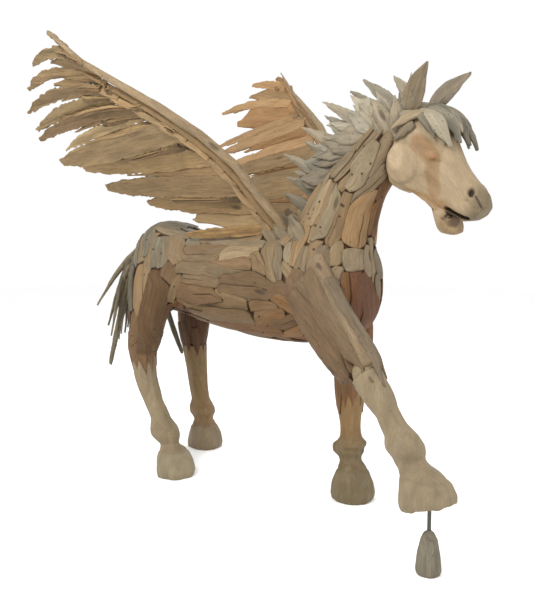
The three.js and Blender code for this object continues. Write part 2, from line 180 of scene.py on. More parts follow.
class Pile:
    """Boards gathered into one piece: shape, colour, grain direction and how much painted shade each point
    gets in hollows, cracks and undersides.
    """

    def __init__(self):
        self.verts, self.faces, self.tone, self.grain, self.painted_shade = [], {}, [], [], []
        self.count = 0

    def add(self, verts, faces, tone, grain, painted_shade):
        n = len(verts)
        self.verts.append(verts)
        for f in faces:
            if len(f):
                self.faces.setdefault(f.shape[1], []).append(np.asarray(f) + self.count)
        self.tone.append(np.broadcast_to(tone, (n, 3)))
        self.grain.append(grain)
        self.painted_shade.append(np.broadcast_to(painted_shade, (n,)))
        self.count += n

    def piece(self, name, slot, nodes=()):
        faces = [np.concatenate(f) for f in self.faces.values()]
        mesh = mesh_from(name, np.concatenate(self.verts), faces)
        tone = np.concatenate(self.tone)
        colour = mesh.attributes.new("tone", "FLOAT_COLOR", "POINT")
        colour.data.foreach_set("color", np.hstack([tone, np.ones((len(tone), 1))]).ravel())
        grain = mesh.attributes.new("grain", "FLOAT_VECTOR", "POINT")
        grain.data.foreach_set("vector", np.concatenate(self.grain).ravel())
        painted_shade = mesh.attributes.new("painted_shade", "FLOAT", "POINT")
        painted_shade.data.foreach_set("value", np.concatenate(self.painted_shade))
        mesh.materials.append(MATERIALS[slot])
        obj = bpy.data.objects.new(name, mesh)
        bpy.context.scene.collection.objects.link(obj)
        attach(obj, "root")
        if nodes:
            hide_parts(*nodes)


# ---------------------------------------------------------------- wood

def wood(name, streak, grey, rough, relief, holes=0.25, knots=0.27):
    """Weathered wood: streaks and fibres along the grain, knots, borer holes, silvered patches."""
    material = bpy.data.materials.new(name)
    material.use_nodes = True
    tree = material.node_tree
    shader = tree.nodes["Principled BSDF"]

    def node(kind, inputs=(), **settings):
        made = tree.nodes.new("ShaderNode" + kind)
        for key, value in settings.items():
            setattr(made, key, value)
        for key, value in dict(inputs).items():
            if isinstance(value, bpy.types.NodeSocket):
                tree.links.new(value, made.inputs[key])
            else:
                made.inputs[key].default_value = value
        return made

    def math_node(operation, a, b):
        return node("Math", {0: a, 1: b}, operation=operation).outputs[0]

    def spread(value, low, high, to_low, to_high):
        found = node("MapRange", {0: value, 1: low, 2: high, 3: to_low, 4: to_high})
        return found.outputs[0]

    def texture(scale, detail, roughness=0.6, distortion=0.0):
        at = node("Mapping", {"Vector": grain, "Scale": scale}, vector_type="POINT").outputs[0]
        made = node("TexNoise", {"Vector": at, "Scale": 1.0, "Detail": detail, "Roughness": roughness,
                                 "Distortion": distortion})
        return made.outputs[0]

    tone = node("Attribute", attribute_name="tone").outputs["Color"]
    grain = node("Attribute", attribute_name="grain").outputs["Vector"]
    painted_shade = node("Attribute", attribute_name="painted_shade").outputs["Fac"]

    broad = texture((7, 22, 22), 3)
    streaks = texture((9, 150, 150), 5, 0.65, 0.6)
    fibre = texture((45, 800, 800), 2)
    blotch = texture((14, 38, 38), 4, 0.7)

    def spots(scale, outer, inner, channel, share, full):
        """Dark spots in a share of the cells of a pattern that follows the grain."""
        at = node("Mapping", {"Vector": grain, "Scale": scale}).outputs[0]
        cell = node("TexVoronoi", {"Vector": at, "Scale": 1.0})
        picked = node("SeparateColor", {0: cell.outputs["Color"]}).outputs[channel]
        chosen = spread(picked, 1 - share, full - share, 0, 1)
        return math_node("MULTIPLY", spread(cell.outputs["Distance"], outer, inner, 0, 1), chosen)

    knot_dark = spots((5, 15, 15), 0.2, 0.1, 0, knots, 1.02)
    # The dark borer holes are painted shade in the holes.
    hole_shade = spots((60, 70, 70), 0.17, 0.12, 1, holes, 1.01)

    # Painted shade: the per-point shade attribute darkens hollows, cracks, worn edges and undersides down to
    # 0.3 of their colour.
    shade = spread(broad, 0.3, 0.7, 0.86, 1.12)
    for value, low, high, to_low, to_high in ((streaks, 0.32, 0.66, 1 - streak, 1.1),
                                              (fibre, 0.3, 0.7, 0.88, 1.08),
                                              (painted_shade, 0, 1, 1.0, 0.30),
                                              (knot_dark, 0, 1, 1.0, 0.45),
                                              (hole_shade, 0, 1, 1.0, 0.3)):
        shade = math_node("MULTIPLY", shade, spread(value, low, high, to_low, to_high))
    silver = node("Mix", {0: spread(blotch, 0.48, 0.72, 0, grey), 6: tone, 7: (0.215, 0.195, 0.15, 1)},
                  data_type="RGBA")
    colour = node("VectorMath", {0: silver.outputs[2], "Scale": shade}, operation="SCALE").outputs[0]
    tree.links.new(colour, shader.inputs["Base Color"])
    tree.links.new(spread(broad, 0.2, 0.8, rough + 0.1, rough - 0.1), shader.inputs["Roughness"])
    shader.inputs["Specular IOR Level"].default_value = 0.28

    height = math_node("ADD", math_node("MULTIPLY", streaks, 0.9), math_node("MULTIPLY", fibre, 0.3))
    height = math_node("SUBTRACT", height, math_node("MULTIPLY", hole_shade, 0.8))
    height = math_node("SUBTRACT", height, math_node("MULTIPLY", knot_dark, 0.5))
    bump = node("Bump", {"Height": height, "Strength": relief, "Distance": 0.004})
    tree.links.new(bump.outputs[0], shader.inputs["Normal"])
    return material


MATERIALS = {
    "carved_wood": wood("pale carved wood", 0.09, 0.25, 0.62, 0.3, 0.05, 0.0),
    "tan_driftwood": wood("tan driftwood", 0.26, 0.22, 0.72, 0.8),
    "grey_driftwood": wood("grey driftwood", 0.28, 0.35, 0.76, 0.9),
    "brown_driftwood": wood("brown driftwood", 0.3, 0.08, 0.7, 0.85),
    "wing_driftwood": wood("wing driftwood", 0.30, 0.12, 0.7, 0.9),
    "mane_driftwood": wood("bleached driftwood", 0.28, 0.3, 0.78, 0.9, 0.35),
}

# The colours of the boards, as they look in even light.
TONES = {
    "pale": (168, 149, 118), "grey": (148, 132, 106), "grey_brown": (142, 122, 94), "slate": (128, 119, 100),
    "tan": (150, 127, 94), "orange": (148, 116, 76), "amber": (170, 136, 94),
    "brown": (138, 111, 79), "rust": (132, 96, 60), "red": (118, 80, 52), "umber": (96, 62, 32),
}
TONES_OF_SLOT = {
    "grey_driftwood": ("pale", "grey", "grey_brown", "slate"),
    "tan_driftwood": ("tan", "orange", "amber"),
    "brown_driftwood": ("brown", "rust", "red", "umber"),
}
SLOT_OF = {tone: slot for slot, tones in TONES_OF_SLOT.items() for tone in tones}


def tinted(tone, amount=0.1):
    """A board's own shade of a colour."""
    base = linear(TONES[tone] if isinstance(tone, str) else tone)
    warm = 1 + rng.normal(0, amount * 0.25)
    return base * (1 + rng.normal(0, amount)) * np.array([warm, 1.0, 1 / warm])


# ---------------------------------------------------------------- boards laid on the body

SKIN = ["body", "neck", "thigh_right", "thigh_left", "upper_foreleg_left"]
skin_verts, skin_quads, skin_normals = remeshed(SKIN, 0.012, 14)
skin = BVHTree.FromPolygons(skin_verts.tolist(), skin_quads.tolist())

# Boards whose places matter: one end, the other end, width, colour, how proud it lies.
BOARDS = [
    ((-0.35, -0.20, 1.21), (-0.05, -0.21, 1.22), 0.09, "grey_brown", 4),
    ((-0.39, -0.15, 1.27), (-0.26, -0.14, 1.27), 0.04, "grey", 3),
    ((-0.07, -0.22, 1.20), (0.15, -0.22, 1.22), 0.06, "pale", 9),
    ((-0.16, -0.16, 1.26), (0.27, -0.20, 1.26), 0.05, "grey", 3),
    ((0.11, -0.22, 1.20), (0.29, -0.24, 1.12), 0.08, "tan", 4),
    ((-0.33, -0.23, 1.13), (0.13, -0.25, 1.13), 0.05, "tan", 8),
    ((-0.31, -0.24, 1.10), (-0.03, -0.25, 1.07), 0.06, "tan", 4),
    ((-0.36, -0.22, 1.00), (-0.07, -0.25, 1.01), 0.09, "brown", 5),
    ((-0.06, -0.25, 1.07), (0.31, -0.24, 1.05), 0.12, "brown", 7),
    ((-0.10, -0.25, 1.03), (0.15, -0.24, 0.98), 0.035, "tan", 4),
    ((-0.18, -0.22, 0.96), (0.20, -0.24, 0.97), 0.035, "tan", 2),
    ((-0.25, -0.18, 0.90), (0.16, -0.22, 0.91), 0.07, "tan", 7),
    ((0.14, -0.22, 0.92), (0.31, -0.22, 0.93), 0.10, "orange", 4),
    ((-0.17, -0.13, 0.85), (0.26, -0.16, 0.85), 0.05, "brown", 3),
    ((-0.37, -0.21, 0.97), (-0.17, -0.20, 0.91), 0.04, "tan", 3),
    ((0.21, -0.20, 0.89), (0.39, -0.19, 0.90), 0.06, "brown", 4),
    ((0.11, -0.24, 0.97), (0.29, -0.23, 0.97), 0.05, "brown", 5),
    ((-0.68, -0.13, 1.34), (-0.49, 0.00, 1.33), 0.10, "slate", 8),
    ((-0.48, -0.23, 1.14), (-0.53, -0.18, 1.27), 0.08, "slate", 4),
    ((-0.38, -0.23, 1.16), (-0.46, -0.15, 1.29), 0.07, "grey", 9),
    ((-0.54, -0.25, 1.15), (-0.59, -0.19, 1.28), 0.03, "slate", 6),
    ((-0.58, -0.29, 1.02), (-0.60, -0.20, 1.27), 0.05, "tan", 3),
    ((-0.64, -0.20, 0.66), (-0.48, -0.24, 1.11), 0.11, "brown", 8),
    ((-0.47, -0.24, 1.06), (-0.40, -0.22, 1.16), 0.09, "brown", 4),
    ((-0.48, -0.20, 0.92), (-0.35, -0.23, 1.09), 0.04, "tan", 5),
    ((-0.63, -0.29, 0.90), (-0.61, -0.25, 1.16), 0.07, "tan", 2),
    ((-0.50, -0.18, 0.72), (-0.40, -0.20, 0.95), 0.08, "rust", 3),
    ((0.45, -0.10, 1.51), (0.67, -0.07, 1.73), 0.05, "grey", 5),
    ((0.55, -0.10, 1.56), (0.73, -0.07, 1.74), 0.04, "grey_brown", 3),
    ((0.60, -0.09, 1.63), (0.73, 0.00, 1.82), 0.05, "tan", 5),
    ((0.42, -0.19, 1.26), (0.52, -0.11, 1.49), 0.045, "tan", 3),
    ((0.57, -0.11, 1.49), (0.72, -0.08, 1.66), 0.09, "pale", 8),
    ((0.46, -0.17, 1.27), (0.56, -0.11, 1.50), 0.08, "pale", 5),
    ((0.53, -0.15, 1.25), (0.60, -0.10, 1.49), 0.06, "tan", 3),
    ((0.62, -0.08, 1.24), (0.67, -0.08, 1.50), 0.10, "amber", 5),
    ((0.65, 0.01, 1.31), (0.74, -0.01, 1.56), 0.06, "rust", 3),
    ((0.55, -0.11, 1.48), (0.66, -0.09, 1.61), 0.05, "tan", 4),
    ((0.31, -0.24, 1.09), (0.28, -0.18, 1.29), 0.04, "grey_brown", 4),
    ((0.37, -0.23, 1.16), (0.34, -0.19, 1.27), 0.04, "grey", 3),
    ((0.35, -0.23, 1.17), (0.42, -0.23, 1.07), 0.05, "tan", 6),
    ((0.42, -0.23, 1.07), (0.43, -0.19, 1.25), 0.06, "grey", 5),
    ((0.47, -0.22, 1.15), (0.48, -0.16, 1.30), 0.05, "tan", 3),
    ((0.49, -0.22, 1.08), (0.49, -0.21, 1.17), 0.035, "grey", 5),
    ((0.52, -0.20, 1.14), (0.55, -0.19, 1.05), 0.035, "pale", 7),
    ((0.54, -0.20, 1.15), (0.51, -0.16, 1.25), 0.05, "grey_brown", 5),
    ((0.58, -0.17, 1.16), (0.56, -0.14, 1.26), 0.05, "tan", 3),
    ((0.64, -0.11, 1.13), (0.63, -0.07, 1.25), 0.10, "grey", 7),
    ((0.65, 0.03, 1.12), (0.65, 0.00, 1.28), 0.05, "grey", 4),
    ((0.61, -0.13, 0.96), (0.62, -0.14, 1.13), 0.055, "rust", 4),
    ((0.60, 0.02, 0.88), (0.65, -0.06, 1.14), 0.08, "red", 6),
    ((0.62, 0.11, 0.94), (0.65, 0.04, 1.13), 0.04, "grey", 3),
    ((0.58, -0.18, 1.06), (0.58, -0.16, 1.18), 0.05, "grey_brown", 3),
    ((0.53, -0.19, 0.96), (0.56, -0.19, 1.11), 0.06, "brown", 3),
]
# Directions and colours of the far limbs, which don't mirror the near ones.
LIMB_BOARDS = [
    ((-0.62, 0.16, 1.05), (-0.70, 0.22, 0.66), 0.09, "umber", 6),
    ((-0.72, 0.15, 1.08), (-0.76, 0.19, 0.68), 0.08, "umber", 4),
    ((-0.82, 0.20, 1.05), (-0.85, 0.26, 0.68), 0.08, "rust", 5),
    ((-0.62, 0.28, 1.05), (-0.72, 0.32, 0.68), 0.08, "brown", 5),
    ((-0.75, 0.29, 1.15), (-0.80, 0.33, 0.70), 0.09, "brown", 3),
    ((0.50, 0.14, 0.98), (0.48, 0.14, 0.58), 0.08, "rust", 5),
    ((0.37, 0.14, 0.98), (0.39, 0.14, 0.58), 0.07, "rust", 3),
    ((0.42, 0.26, 0.95), (0.42, 0.26, 0.58), 0.10, "brown", 5),
    ((0.53, 0.20, 0.98), (0.51, 0.20, 0.58), 0.07, "rust", 4),
    ((0.32, 0.20, 0.96), (0.34, 0.20, 0.58), 0.07, "brown", 4),
]


def lay_seeds():
    """Every board's frame: the placed ones, their counterparts on the far side, and a fill between them."""
    rows = []
    for a, b, width, tone, proud in BOARDS + LIMB_BOARDS:
        rows.append((np.array(a), np.array(b), width, tone, proud))
    flip = np.array([1, -1, 1])
    for a, b, width, tone, proud in BOARDS:
        limb = a[2] < 0.9 and a[0] < -0.3
        if limb or (a[2] < 0.95 and a[0] > 0.2):
            continue
        slide = np.array([rng.normal(0, 0.03), 0, rng.normal(0, 0.012)])
        rows.append((np.array(a) * flip + slide, np.array(b) * flip + slide, width * rng.uniform(0.85, 1.2),
                     tone, proud + rng.normal(0, 1.5)))
    seeds = []

    def settle(middle, along, half_long, half_wide, tone, proud):
        at, normal, _, _ = skin.find_nearest(Vector(middle))
        at, normal = np.array(at), np.array(normal)
        along = unit(along - normal * (along @ normal))
        seeds.append(dict(at=at, along=along, across=np.cross(normal, along), normal=normal,
                          long=half_long, wide=half_wide, tone=tone, proud=proud))

    for a, b, width, tone, proud in rows:
        settle((a + b) / 2 + SHIFT, b - a, max(np.linalg.norm(b - a) / 2, 0.06), width / 2, tone, proud)
    guides = list(seeds)
    guide_at = np.array([g["at"] for g in guides])
    guide_along = np.array([g["along"] for g in guides])

    corners = skin_verts[skin_quads]
    area = np.linalg.norm(np.cross(corners[:, 2] - corners[:, 0], corners[:, 3] - corners[:, 1]), axis=1)
    picks = rng.choice(len(skin_quads), 5000, p=area / area.sum())
    for point in corners[picks].mean(axis=1):
        near = np.argsort(np.linalg.norm(guide_at - point, axis=1))[:3]
        lead = guide_along[near[0]]
        signs = np.sign(guide_along[near] @ lead)
        along = unit((guide_along[near] * signs[:, None] * np.array([1.0, 0.5, 0.3])[:, None]).sum(axis=0))
        half_long = rng.uniform(0.08, 0.20)
        half_wide = rng.uniform(0.018, 0.036)
        if region_of(point) == "neck":
            half_long, half_wide = rng.uniform(0.15, 0.26), rng.uniform(0.015, 0.024)
        if min(crowding(point, seeds)) < 1.5:
            continue
        tone = guides[near[int(rng.integers(0, 3))]]["tone"]
        settle(point, along + rng.normal(0, 0.08, 3), half_long, half_wide, tone, rng.uniform(1, 8))
    return seeds


# How far above or below the skin a board still owns its ground.
OWN_DEPTH = 0.12


def frames_of(seeds):
    """Each board's place, half sizes and axes."""
    at = np.array([s["at"] for s in seeds])
    size = np.array([[s["long"], s["wide"], OWN_DEPTH] for s in seeds])
    axes = np.array([[s["along"], s["across"], s["normal"]] for s in seeds])
    return at, size, axes


def crowding(point, seeds):
    """How far a point is from each board, in that board's own half length and half width."""
    at, size, axes = frames_of(seeds)
    offset = point - at
    parts = np.einsum("sij,sj->si", axes, offset) / size
    return (np.abs(parts) ** 3).sum(axis=1) ** (1 / 3)


def owners(points, seeds):
    """The nearest board to each point."""
    at, size, axes = frames_of(seeds)
    warp = np.stack([fractal(points, 16, k) for k in (1, 4, 7)], axis=1) * 0.010
    offset = (points + warp)[:, None, :] - at[None]
    parts = np.einsum("sij,psj->psi", axes, offset) / size[None]
    return (np.abs(parts) ** 2.4).sum(axis=2).argmin(axis=1)


# Steps along and across a board, and how far its underside hangs below the skin.
STEP = 0.012
SIDE_STEP = 0.006
BOARD_DROP = 0.014


def walk(start, normal, heading, step, count):
    """Points, normals and headings along the skin."""
    path = []
    at = np.array(start)
    for _ in range(count):
        found, face_normal, _, _ = skin.find_nearest(Vector(at + heading * step))
        if found is None:
            break
        at = np.array(found)
        new = unit(np.array(face_normal) * 0.5 + normal * 0.5)
        if new @ normal < 0.2:
            break
        normal = new
        heading = unit(heading - normal * (heading @ normal))
        path.append((at, normal, heading))
    return path


# Where a board's top has points, from left edge to right: closer together at its rounded edges.
COLUMNS = np.array([-1, -0.955, -0.86, -0.62, -0.33, 0, 0.33, 0.62, 0.86, 0.955, 1])


def lay_board(index, seeds, piles):
    """One board, laid on the skin over the ground that it owns."""
    seed = seeds[index]
    reach = int(seed["long"] * 1.5 / STEP)
    fore = walk(seed["at"], seed["normal"], seed["along"], STEP, reach)
    back = walk(seed["at"], seed["normal"], -seed["along"], STEP, reach)
    spine = [(p, n, -h) for p, n, h in reversed(back)] + [(seed["at"], seed["normal"], seed["along"])] + fore
    side_count = int(seed["wide"] * 2.2 / SIDE_STEP) + 1
    lines = []
    for at, normal, heading in spine:
        side = np.cross(normal, heading)
        left = walk(at, normal, -side, SIDE_STEP, side_count)
        right = walk(at, normal, side, SIDE_STEP, side_count)
        line = [(p, n) for p, n, _ in reversed(left)] + [(at, normal)] + [(p, n) for p, n, _ in right]
        lines.append((len(left), np.array([p for p, _ in line]), np.array([n for _, n in line])))
    near = [s for s in range(len(seeds)) if np.linalg.norm(seeds[s]["at"] - seed["at"]) < 0.62]
    local = [seeds[s] for s in near]
    mine = near.index(index)
    owned = owners(np.concatenate([line[1] for line in lines]), local) == mine
    kept, start = [], 0
    for row, (left, points, normals) in enumerate(lines):
        flags = owned[start:start + len(points)]
        start += len(points)
        best, run = (0, -1), None
        for k, flag in enumerate(list(flags) + [False]):
            if flag and run is None:
                run = k
            if not flag and run is not None:
                if k - run > best[1] - best[0] + 1:
                    best = (run, k - 1)
                run = None
        if best[1] > best[0]:
            kept.append((row, best[0] - left - 0.5, best[1] - left + 0.5, left, points, normals))
    if len(kept) < 3:
        return
    runs, current = [], [kept[0]]
    for item in kept[1:]:
        if item[0] == current[-1][0] + 1:
            current.append(item)
        else:
            runs.append(current)
            current = [item]
    runs.append(current)
    kept = max(runs, key=len)
    if len(kept) < 3:
        return
    low = np.array([k[1] for k in kept]) * SIDE_STEP
    high = np.array([k[2] for k in kept]) * SIDE_STEP
    for _ in range(2):
        for line in (low, high):
            line[1:-1] = line[1:-1] * 0.5 + (line[:-2] + line[2:]) * 0.25
    proud = seed["proud"] * 0.0008
    gap = -0.0045 - (0.005 if seed["proud"] > 6.5 else 0)
    wobble = np.arange(len(kept)) * STEP
    key = rng.uniform(0, 90)
    spot = np.stack([wobble, np.full(len(kept), key), np.zeros(len(kept))], axis=1)
    low = low + gap + 0.0018 * noise(spot, (28, 1, 1), 1)
    high = high - gap + 0.0018 * noise(spot, (28, 1, 1), 5)
    wide = high - low > 0.006
    if wide.sum() < 3:
        return
    first, last = np.argmax(wide), len(wide) - np.argmax(wide[::-1])
    grid, grid_normals = [], []
    columns = COLUMNS.copy()
    groove = rng.uniform(-0.4, 0.4)
    split = (high - low).max() > 0.045 and rng.random() < 0.6
    if split:
        columns = np.sort(np.concatenate([columns, [groove - 0.05, groove, groove + 0.05]]))
    for i in range(first, last):
        _, _, _, left, points, normals = kept[i]
        arc = (np.arange(len(points)) - left) * SIDE_STEP
        spread = (low[i] + high[i]) / 2 + columns * max(high[i] - low[i], 0.004) / 2
        grid.append(np.stack([np.interp(spread, arc, points[:, a]) for a in range(3)], axis=1))
        grid_normals.append(np.stack([np.interp(spread, arc, normals[:, a]) for a in range(3)], axis=1))
    grid, grid_normals = np.array(grid), unit(np.array(grid_normals))
    length = (len(grid) - 1) * STEP
    rows = np.concatenate([[0, 0.003, 0.008], np.arange(0.018, length - 0.014, STEP),
                           [length - 0.008, length - 0.003, length]])
    at = np.arange(len(grid)) * STEP
    across = range(len(columns))
    grid, grid_normals = [
        np.stack([[np.interp(rows, at, old[:, c, a]) for c in across] for a in range(3)], axis=2)
        for old in (grid, grid_normals)]
    grid, grid_normals = grid.transpose(1, 0, 2), unit(grid_normals.transpose(1, 0, 2))
    half = (np.interp(rows, at, (high - low)[first:last]) / 2)[:, None]
    u = columns[None, :]
    local = np.stack(np.broadcast_arrays(rows[:, None] - length / 2, u * half, 0.0), axis=2)
    local = local + np.array([rng.uniform(0, 40), rng.uniform(0, 40), rng.uniform(0, 40)])
    rim = np.minimum((1 - np.abs(u)) * half, np.minimum(rows, length - rows)[:, None])
    rounding = 1 - ramp(rim, 0, 0.0035)
    height = proud + half * 0.03 * (1 - u * u) - 0.0035 * rounding ** 2
    height = height + u * half * rng.normal(0, 0.09) + (rows[:, None] - length / 2) * rng.normal(0, 0.02)
    height = height + 0.0022 * fractal(local, (7, 55, 10)) + 0.002 * noise(local, (9, 12, 9), 3)
    # Painted shade on the board's rounded edges, in its split, and on its underside.
    painted_shade = 0.75 * rounding
    if split:
        fade = [-0.6, 1.2] if rng.random() < 0.5 else [1.2, -0.6]
        window = ramp(np.interp(rows, [0, length], fade), 0, 0.4)
        cut = np.abs(columns[None, :] - groove) < 0.01
        height = height - cut * window[:, None] * 0.008
        painted_shade = np.maximum(painted_shade, cut * window[:, None])
    top = grid + grid_normals * height[..., None]
    n, m = top.shape[:2]
    drop = grid[:, [0, -1]] - grid_normals[:, [0, -1]] * BOARD_DROP
    verts = np.concatenate([top.reshape(-1, 3), drop[:, 0], drop[:, 1]])
    quads, tris = slab_faces(n, m)
    down = (0, 0, BOARD_DROP)
    local_all = np.concatenate([local.reshape(-1, 3), local[:, 0] - down, local[:, -1] - down])
    painted_shade_all = np.concatenate([painted_shade.ravel(), np.ones(2 * n)])
    low_down = 1 - ramp(seed["at"][2], 0.85, 1.2)
    tone = tinted(seed["tone"], 0.13) * (1 - low_down * np.array([0.26, 0.37, 0.52]))
    pile = piles.setdefault((region_of(seed["at"]), SLOT_OF[seed["tone"]]), Pile())
    pile.add(verts, [quads, tris], tone, local_all, np.clip(painted_shade_all, 0, 1))


def slab_faces(n, m):
    """Faces of a board: a top of n rows by m columns, and a plain underside hung from its long edges."""
    i, j = np.meshgrid(np.arange(n - 1), np.arange(m - 1), indexing="ij")
    a = i * m + j
    quads = [np.stack([a, a + 1, a + m + 1, a + m], axis=-1).reshape(-1, 4)]
    left, right = n * m, n * m + n
    k = np.arange(n - 1)
    quads.append(np.stack([k * m, (k + 1) * m, left + k + 1, left + k], axis=-1))
    quads.append(np.stack([(k + 1) * m + m - 1, k * m + m - 1, right + k, right + k + 1], axis=-1))
    quads.append(np.stack([left + k, left + k + 1, right + k + 1, right + k], axis=-1))
    j = np.arange(m - 1)
    end = (n - 1) * m
    tris = [np.stack([np.full(m - 1, left), j + 1, j], axis=-1),
            np.array([[left, right, m - 1]]),
            np.stack([np.full(m - 1, left + n - 1), end + j, end + j + 1], axis=-1),
            np.array([[left + n - 1, end + m - 1, right + n - 1]])]
    return np.concatenate(quads), np.concatenate(tris)


def region_of(point):
    """Which part of the horse a board belongs to."""
    if point[2] < 0.95 and point[0] < -0.35:
        return "thigh_right" if point[1] < 0 else "thigh_left"
    if point[2] < 1.0 and point[0] > 0.2 and point[1] > 0.06:
        return "upper_foreleg_left"
    if point[2] > 1.36 and point[0] > 0.3:
        return "neck"
    return "body"


seeds = lay_seeds()
piles = {}
for index in range(len(seeds)):
    lay_board(index, seeds, piles)

# A dark umber shell just under the boards, seen through the gaps between them: painted shade.
shade_core = Pile()
shade_core.add(skin_verts - skin_normals * 0.006, [skin_quads], linear(TONES["umber"]), skin_verts, 0.1)
shade_core.piece("shade_core", "brown_driftwood", SKIN)
for (region, slot), pile in sorted(piles.items()):
    pile.piece(f"{region}_{slot}", slot)


# Wooden pegs that pin the boards down: the ones that stand out, and one on about every other board.
PEGS = [
    (0.70, -0.09, 1.60), (0.66, -0.09, 1.56), (0.57, -0.11, 1.43), (0.57, -0.13, 1.38),
    (0.19, -0.24, 1.08), (0.25, -0.24, 1.05), (0.46, -0.10, 1.44), (0.42, -0.13, 1.37),
]


def pin_boards(pile):
    """Short round pegs, each set upright into the board that lies at its place."""
    tops = np.concatenate([np.concatenate(p.verts) for _, p in sorted(piles.items())])
    quads, count = [], 0
    for _, p in sorted(piles.items()):
        quads += [f + count for f in p.faces[4]]
        count += p.count
    boards = BVHTree.FromPolygons(tops.tolist(), np.concatenate(quads).tolist())
    places = [np.array(p) + SHIFT for p in PEGS]
    for seed in seeds:
        if rng.random() < 0.5 and seed["long"] > 0.07:
            places.append(seed["at"] + seed["along"] * seed["long"] * rng.uniform(-0.7, 0.7))
    turn = np.linspace(0, 2 * np.pi, 12, endpoint=False)
    for point in places:
        near, normal, _, _ = skin.find_nearest(Vector(point))
        hit, _, _, _ = boards.ray_cast(near + normal * 0.04, -normal)
        if hit is None:
            continue
        normal = np.array(normal)
        side = unit(np.cross(normal, (0.3, 0.2, 0.9)))
        other = np.cross(normal, side)
        radius = rng.uniform(0.0042, 0.0065)
        rings = []
        for lift, share in ((-0.008, 1.0), (0.0005, 1.0), (0.0016, 0.82), (0.0006, 0.45)):
            ring = (np.cos(turn)[:, None] * side + np.sin(turn)[:, None] * other) * radius * share
            rings.append(np.array(hit) + ring + normal * lift)
        verts = np.concatenate(rings + [[np.array(hit) - normal * 0.0005], [np.array(hit) - normal * 0.008]])
        k = np.arange(12)
        walls = np.concatenate([np.stack([r * 12 + k, r * 12 + (k + 1) % 12, (r + 1) * 12 + (k + 1) % 12,
                                          (r + 1) * 12 + k], axis=-1) for r in range(3)])
        caps = np.concatenate([np.stack([36 + k, 36 + (k + 1) % 12, np.full(12, 48)], axis=-1),
                               np.stack([(k + 1) % 12, k, np.full(12, 49)], axis=-1)])
        pile.add(verts, [walls, caps], tinted((74, 58, 42), 0.15), verts, 0.2)


pins = Pile()
pin_boards(pins)
pins.piece("board_pins", "brown_driftwood")


# ---------------------------------------------------------------- planks, shards and sticks

def traced(name, rows, columns):
    """A long CAD node read as a grid: its axes, outline, upper face and lower face, in its own frame."""
    verts, tris = node_mesh(name)
    corners = verts[tris]
    area = np.linalg.norm(np.cross(corners[:, 1] - corners[:, 0], corners[:, 2] - corners[:, 0]), axis=1)
    centres = corners.mean(axis=1)
    middle = (centres * area[:, None]).sum(axis=0) / area.sum()
    spread = (centres - middle) * np.sqrt(area)[:, None]
    _, axes = np.linalg.eigh(spread.T @ spread)
    axes = axes[:, ::-1].T
    if axes[2] @ (middle - np.array([middle[0], 0, middle[2]]) + np.array([0, 0, 0.05])) < 0:
        axes[2] = -axes[2]
    axes[1] = np.cross(axes[2], axes[0])
    local = (verts - middle) @ axes.T
    tree = BVHTree.FromPolygons(local.tolist(), tris.tolist())
    start, end = local[:, 0].min(), local[:, 0].max()
    stops = start + (end - start) * np.clip((1 - np.cos(np.pi * np.linspace(0, 1, rows))) / 2 * 0.35
                                            + np.linspace(0, 1, rows) * 0.65, 0.004, 0.996)
    edges = np.concatenate([tris[:, [0, 1]], tris[:, [1, 2]], tris[:, [2, 0]]])
    a, b = local[edges[:, 0]], local[edges[:, 1]]
    low, high = [], []
    for x in stops:
        cross = (a[:, 0] - x) * (b[:, 0] - x) <= 0
        run = b[cross, 0] - a[cross, 0]
        t = (x - a[cross, 0]) / np.where(np.abs(run) < 1e-9, 1e-9, run)
        y = a[cross, 1] + np.clip(t, 0, 1) * (b[cross, 1] - a[cross, 1])
        low.append(y.min())
        high.append(y.max())
    low, high = np.array(low), np.array(high)
    for line in (low, high):
        line[1:-1] = line[1:-1] * 0.5 + (line[:-2] + line[2:]) * 0.25
    angle = np.linspace(-np.pi / 2, np.pi / 2, columns)
    u = np.sin(angle) * 0.6 + np.linspace(-1, 1, columns) * 0.4
    y = (low + high)[:, None] / 2 + (high - low)[:, None] / 2 * u[None, :]
    top, bottom = np.zeros_like(y), np.zeros_like(y)
    places = np.arange(columns)
    for i, x in enumerate(stops):
        for j in range(columns):
            inside = np.clip(y[i, j], low[i] + 0.002, high[i] - 0.002)
            above = tree.ray_cast(Vector((x, inside, 1)), Vector((0, 0, -1)))[0]
            below = tree.ray_cast(Vector((x, inside, -1)), Vector((0, 0, 1)))[0]
            top[i, j] = above[2] if above else np.nan
            bottom[i, j] = below[2] if below else np.nan
        for line in (top[i], bottom[i]):
            good = ~np.isnan(line)
            line[~good] = np.interp(places[~good], places[good], line[good]) if good.any() else 0
    return dict(middle=middle, axes=axes, x=stops, y=y, u=u, top=top, bottom=bottom, low=low, high=high)


def closed_faces(n, m):
    """Faces between an upper grid and a lower grid of n rows by m columns."""
    i, j = np.meshgrid(np.arange(n - 1), np.arange(m - 1), indexing="ij")
    a = i * m + j
    top = np.stack([a, a + 1, a + m + 1, a + m], axis=-1).reshape(-1, 4)
    bottom = top[:, ::-1] + n * m
    k, j = np.arange(n - 1), np.arange(m - 1)
    left = np.stack([k * m, (k + 1) * m, (k + 1) * m + n * m, k * m + n * m], axis=-1)
    here, there = k * m + m - 1, (k + 1) * m + m - 1
    right = np.stack([there, here, here + n * m, there + n * m], axis=-1)
    first = np.stack([j + 1, j, j + n * m, j + 1 + n * m], axis=-1)
    end = (n - 1) * m
    last = np.stack([end + j, end + j + 1, end + j + 1 + n * m, end + j + n * m], axis=-1)
    return np.concatenate([top, bottom, left, right, first, last])


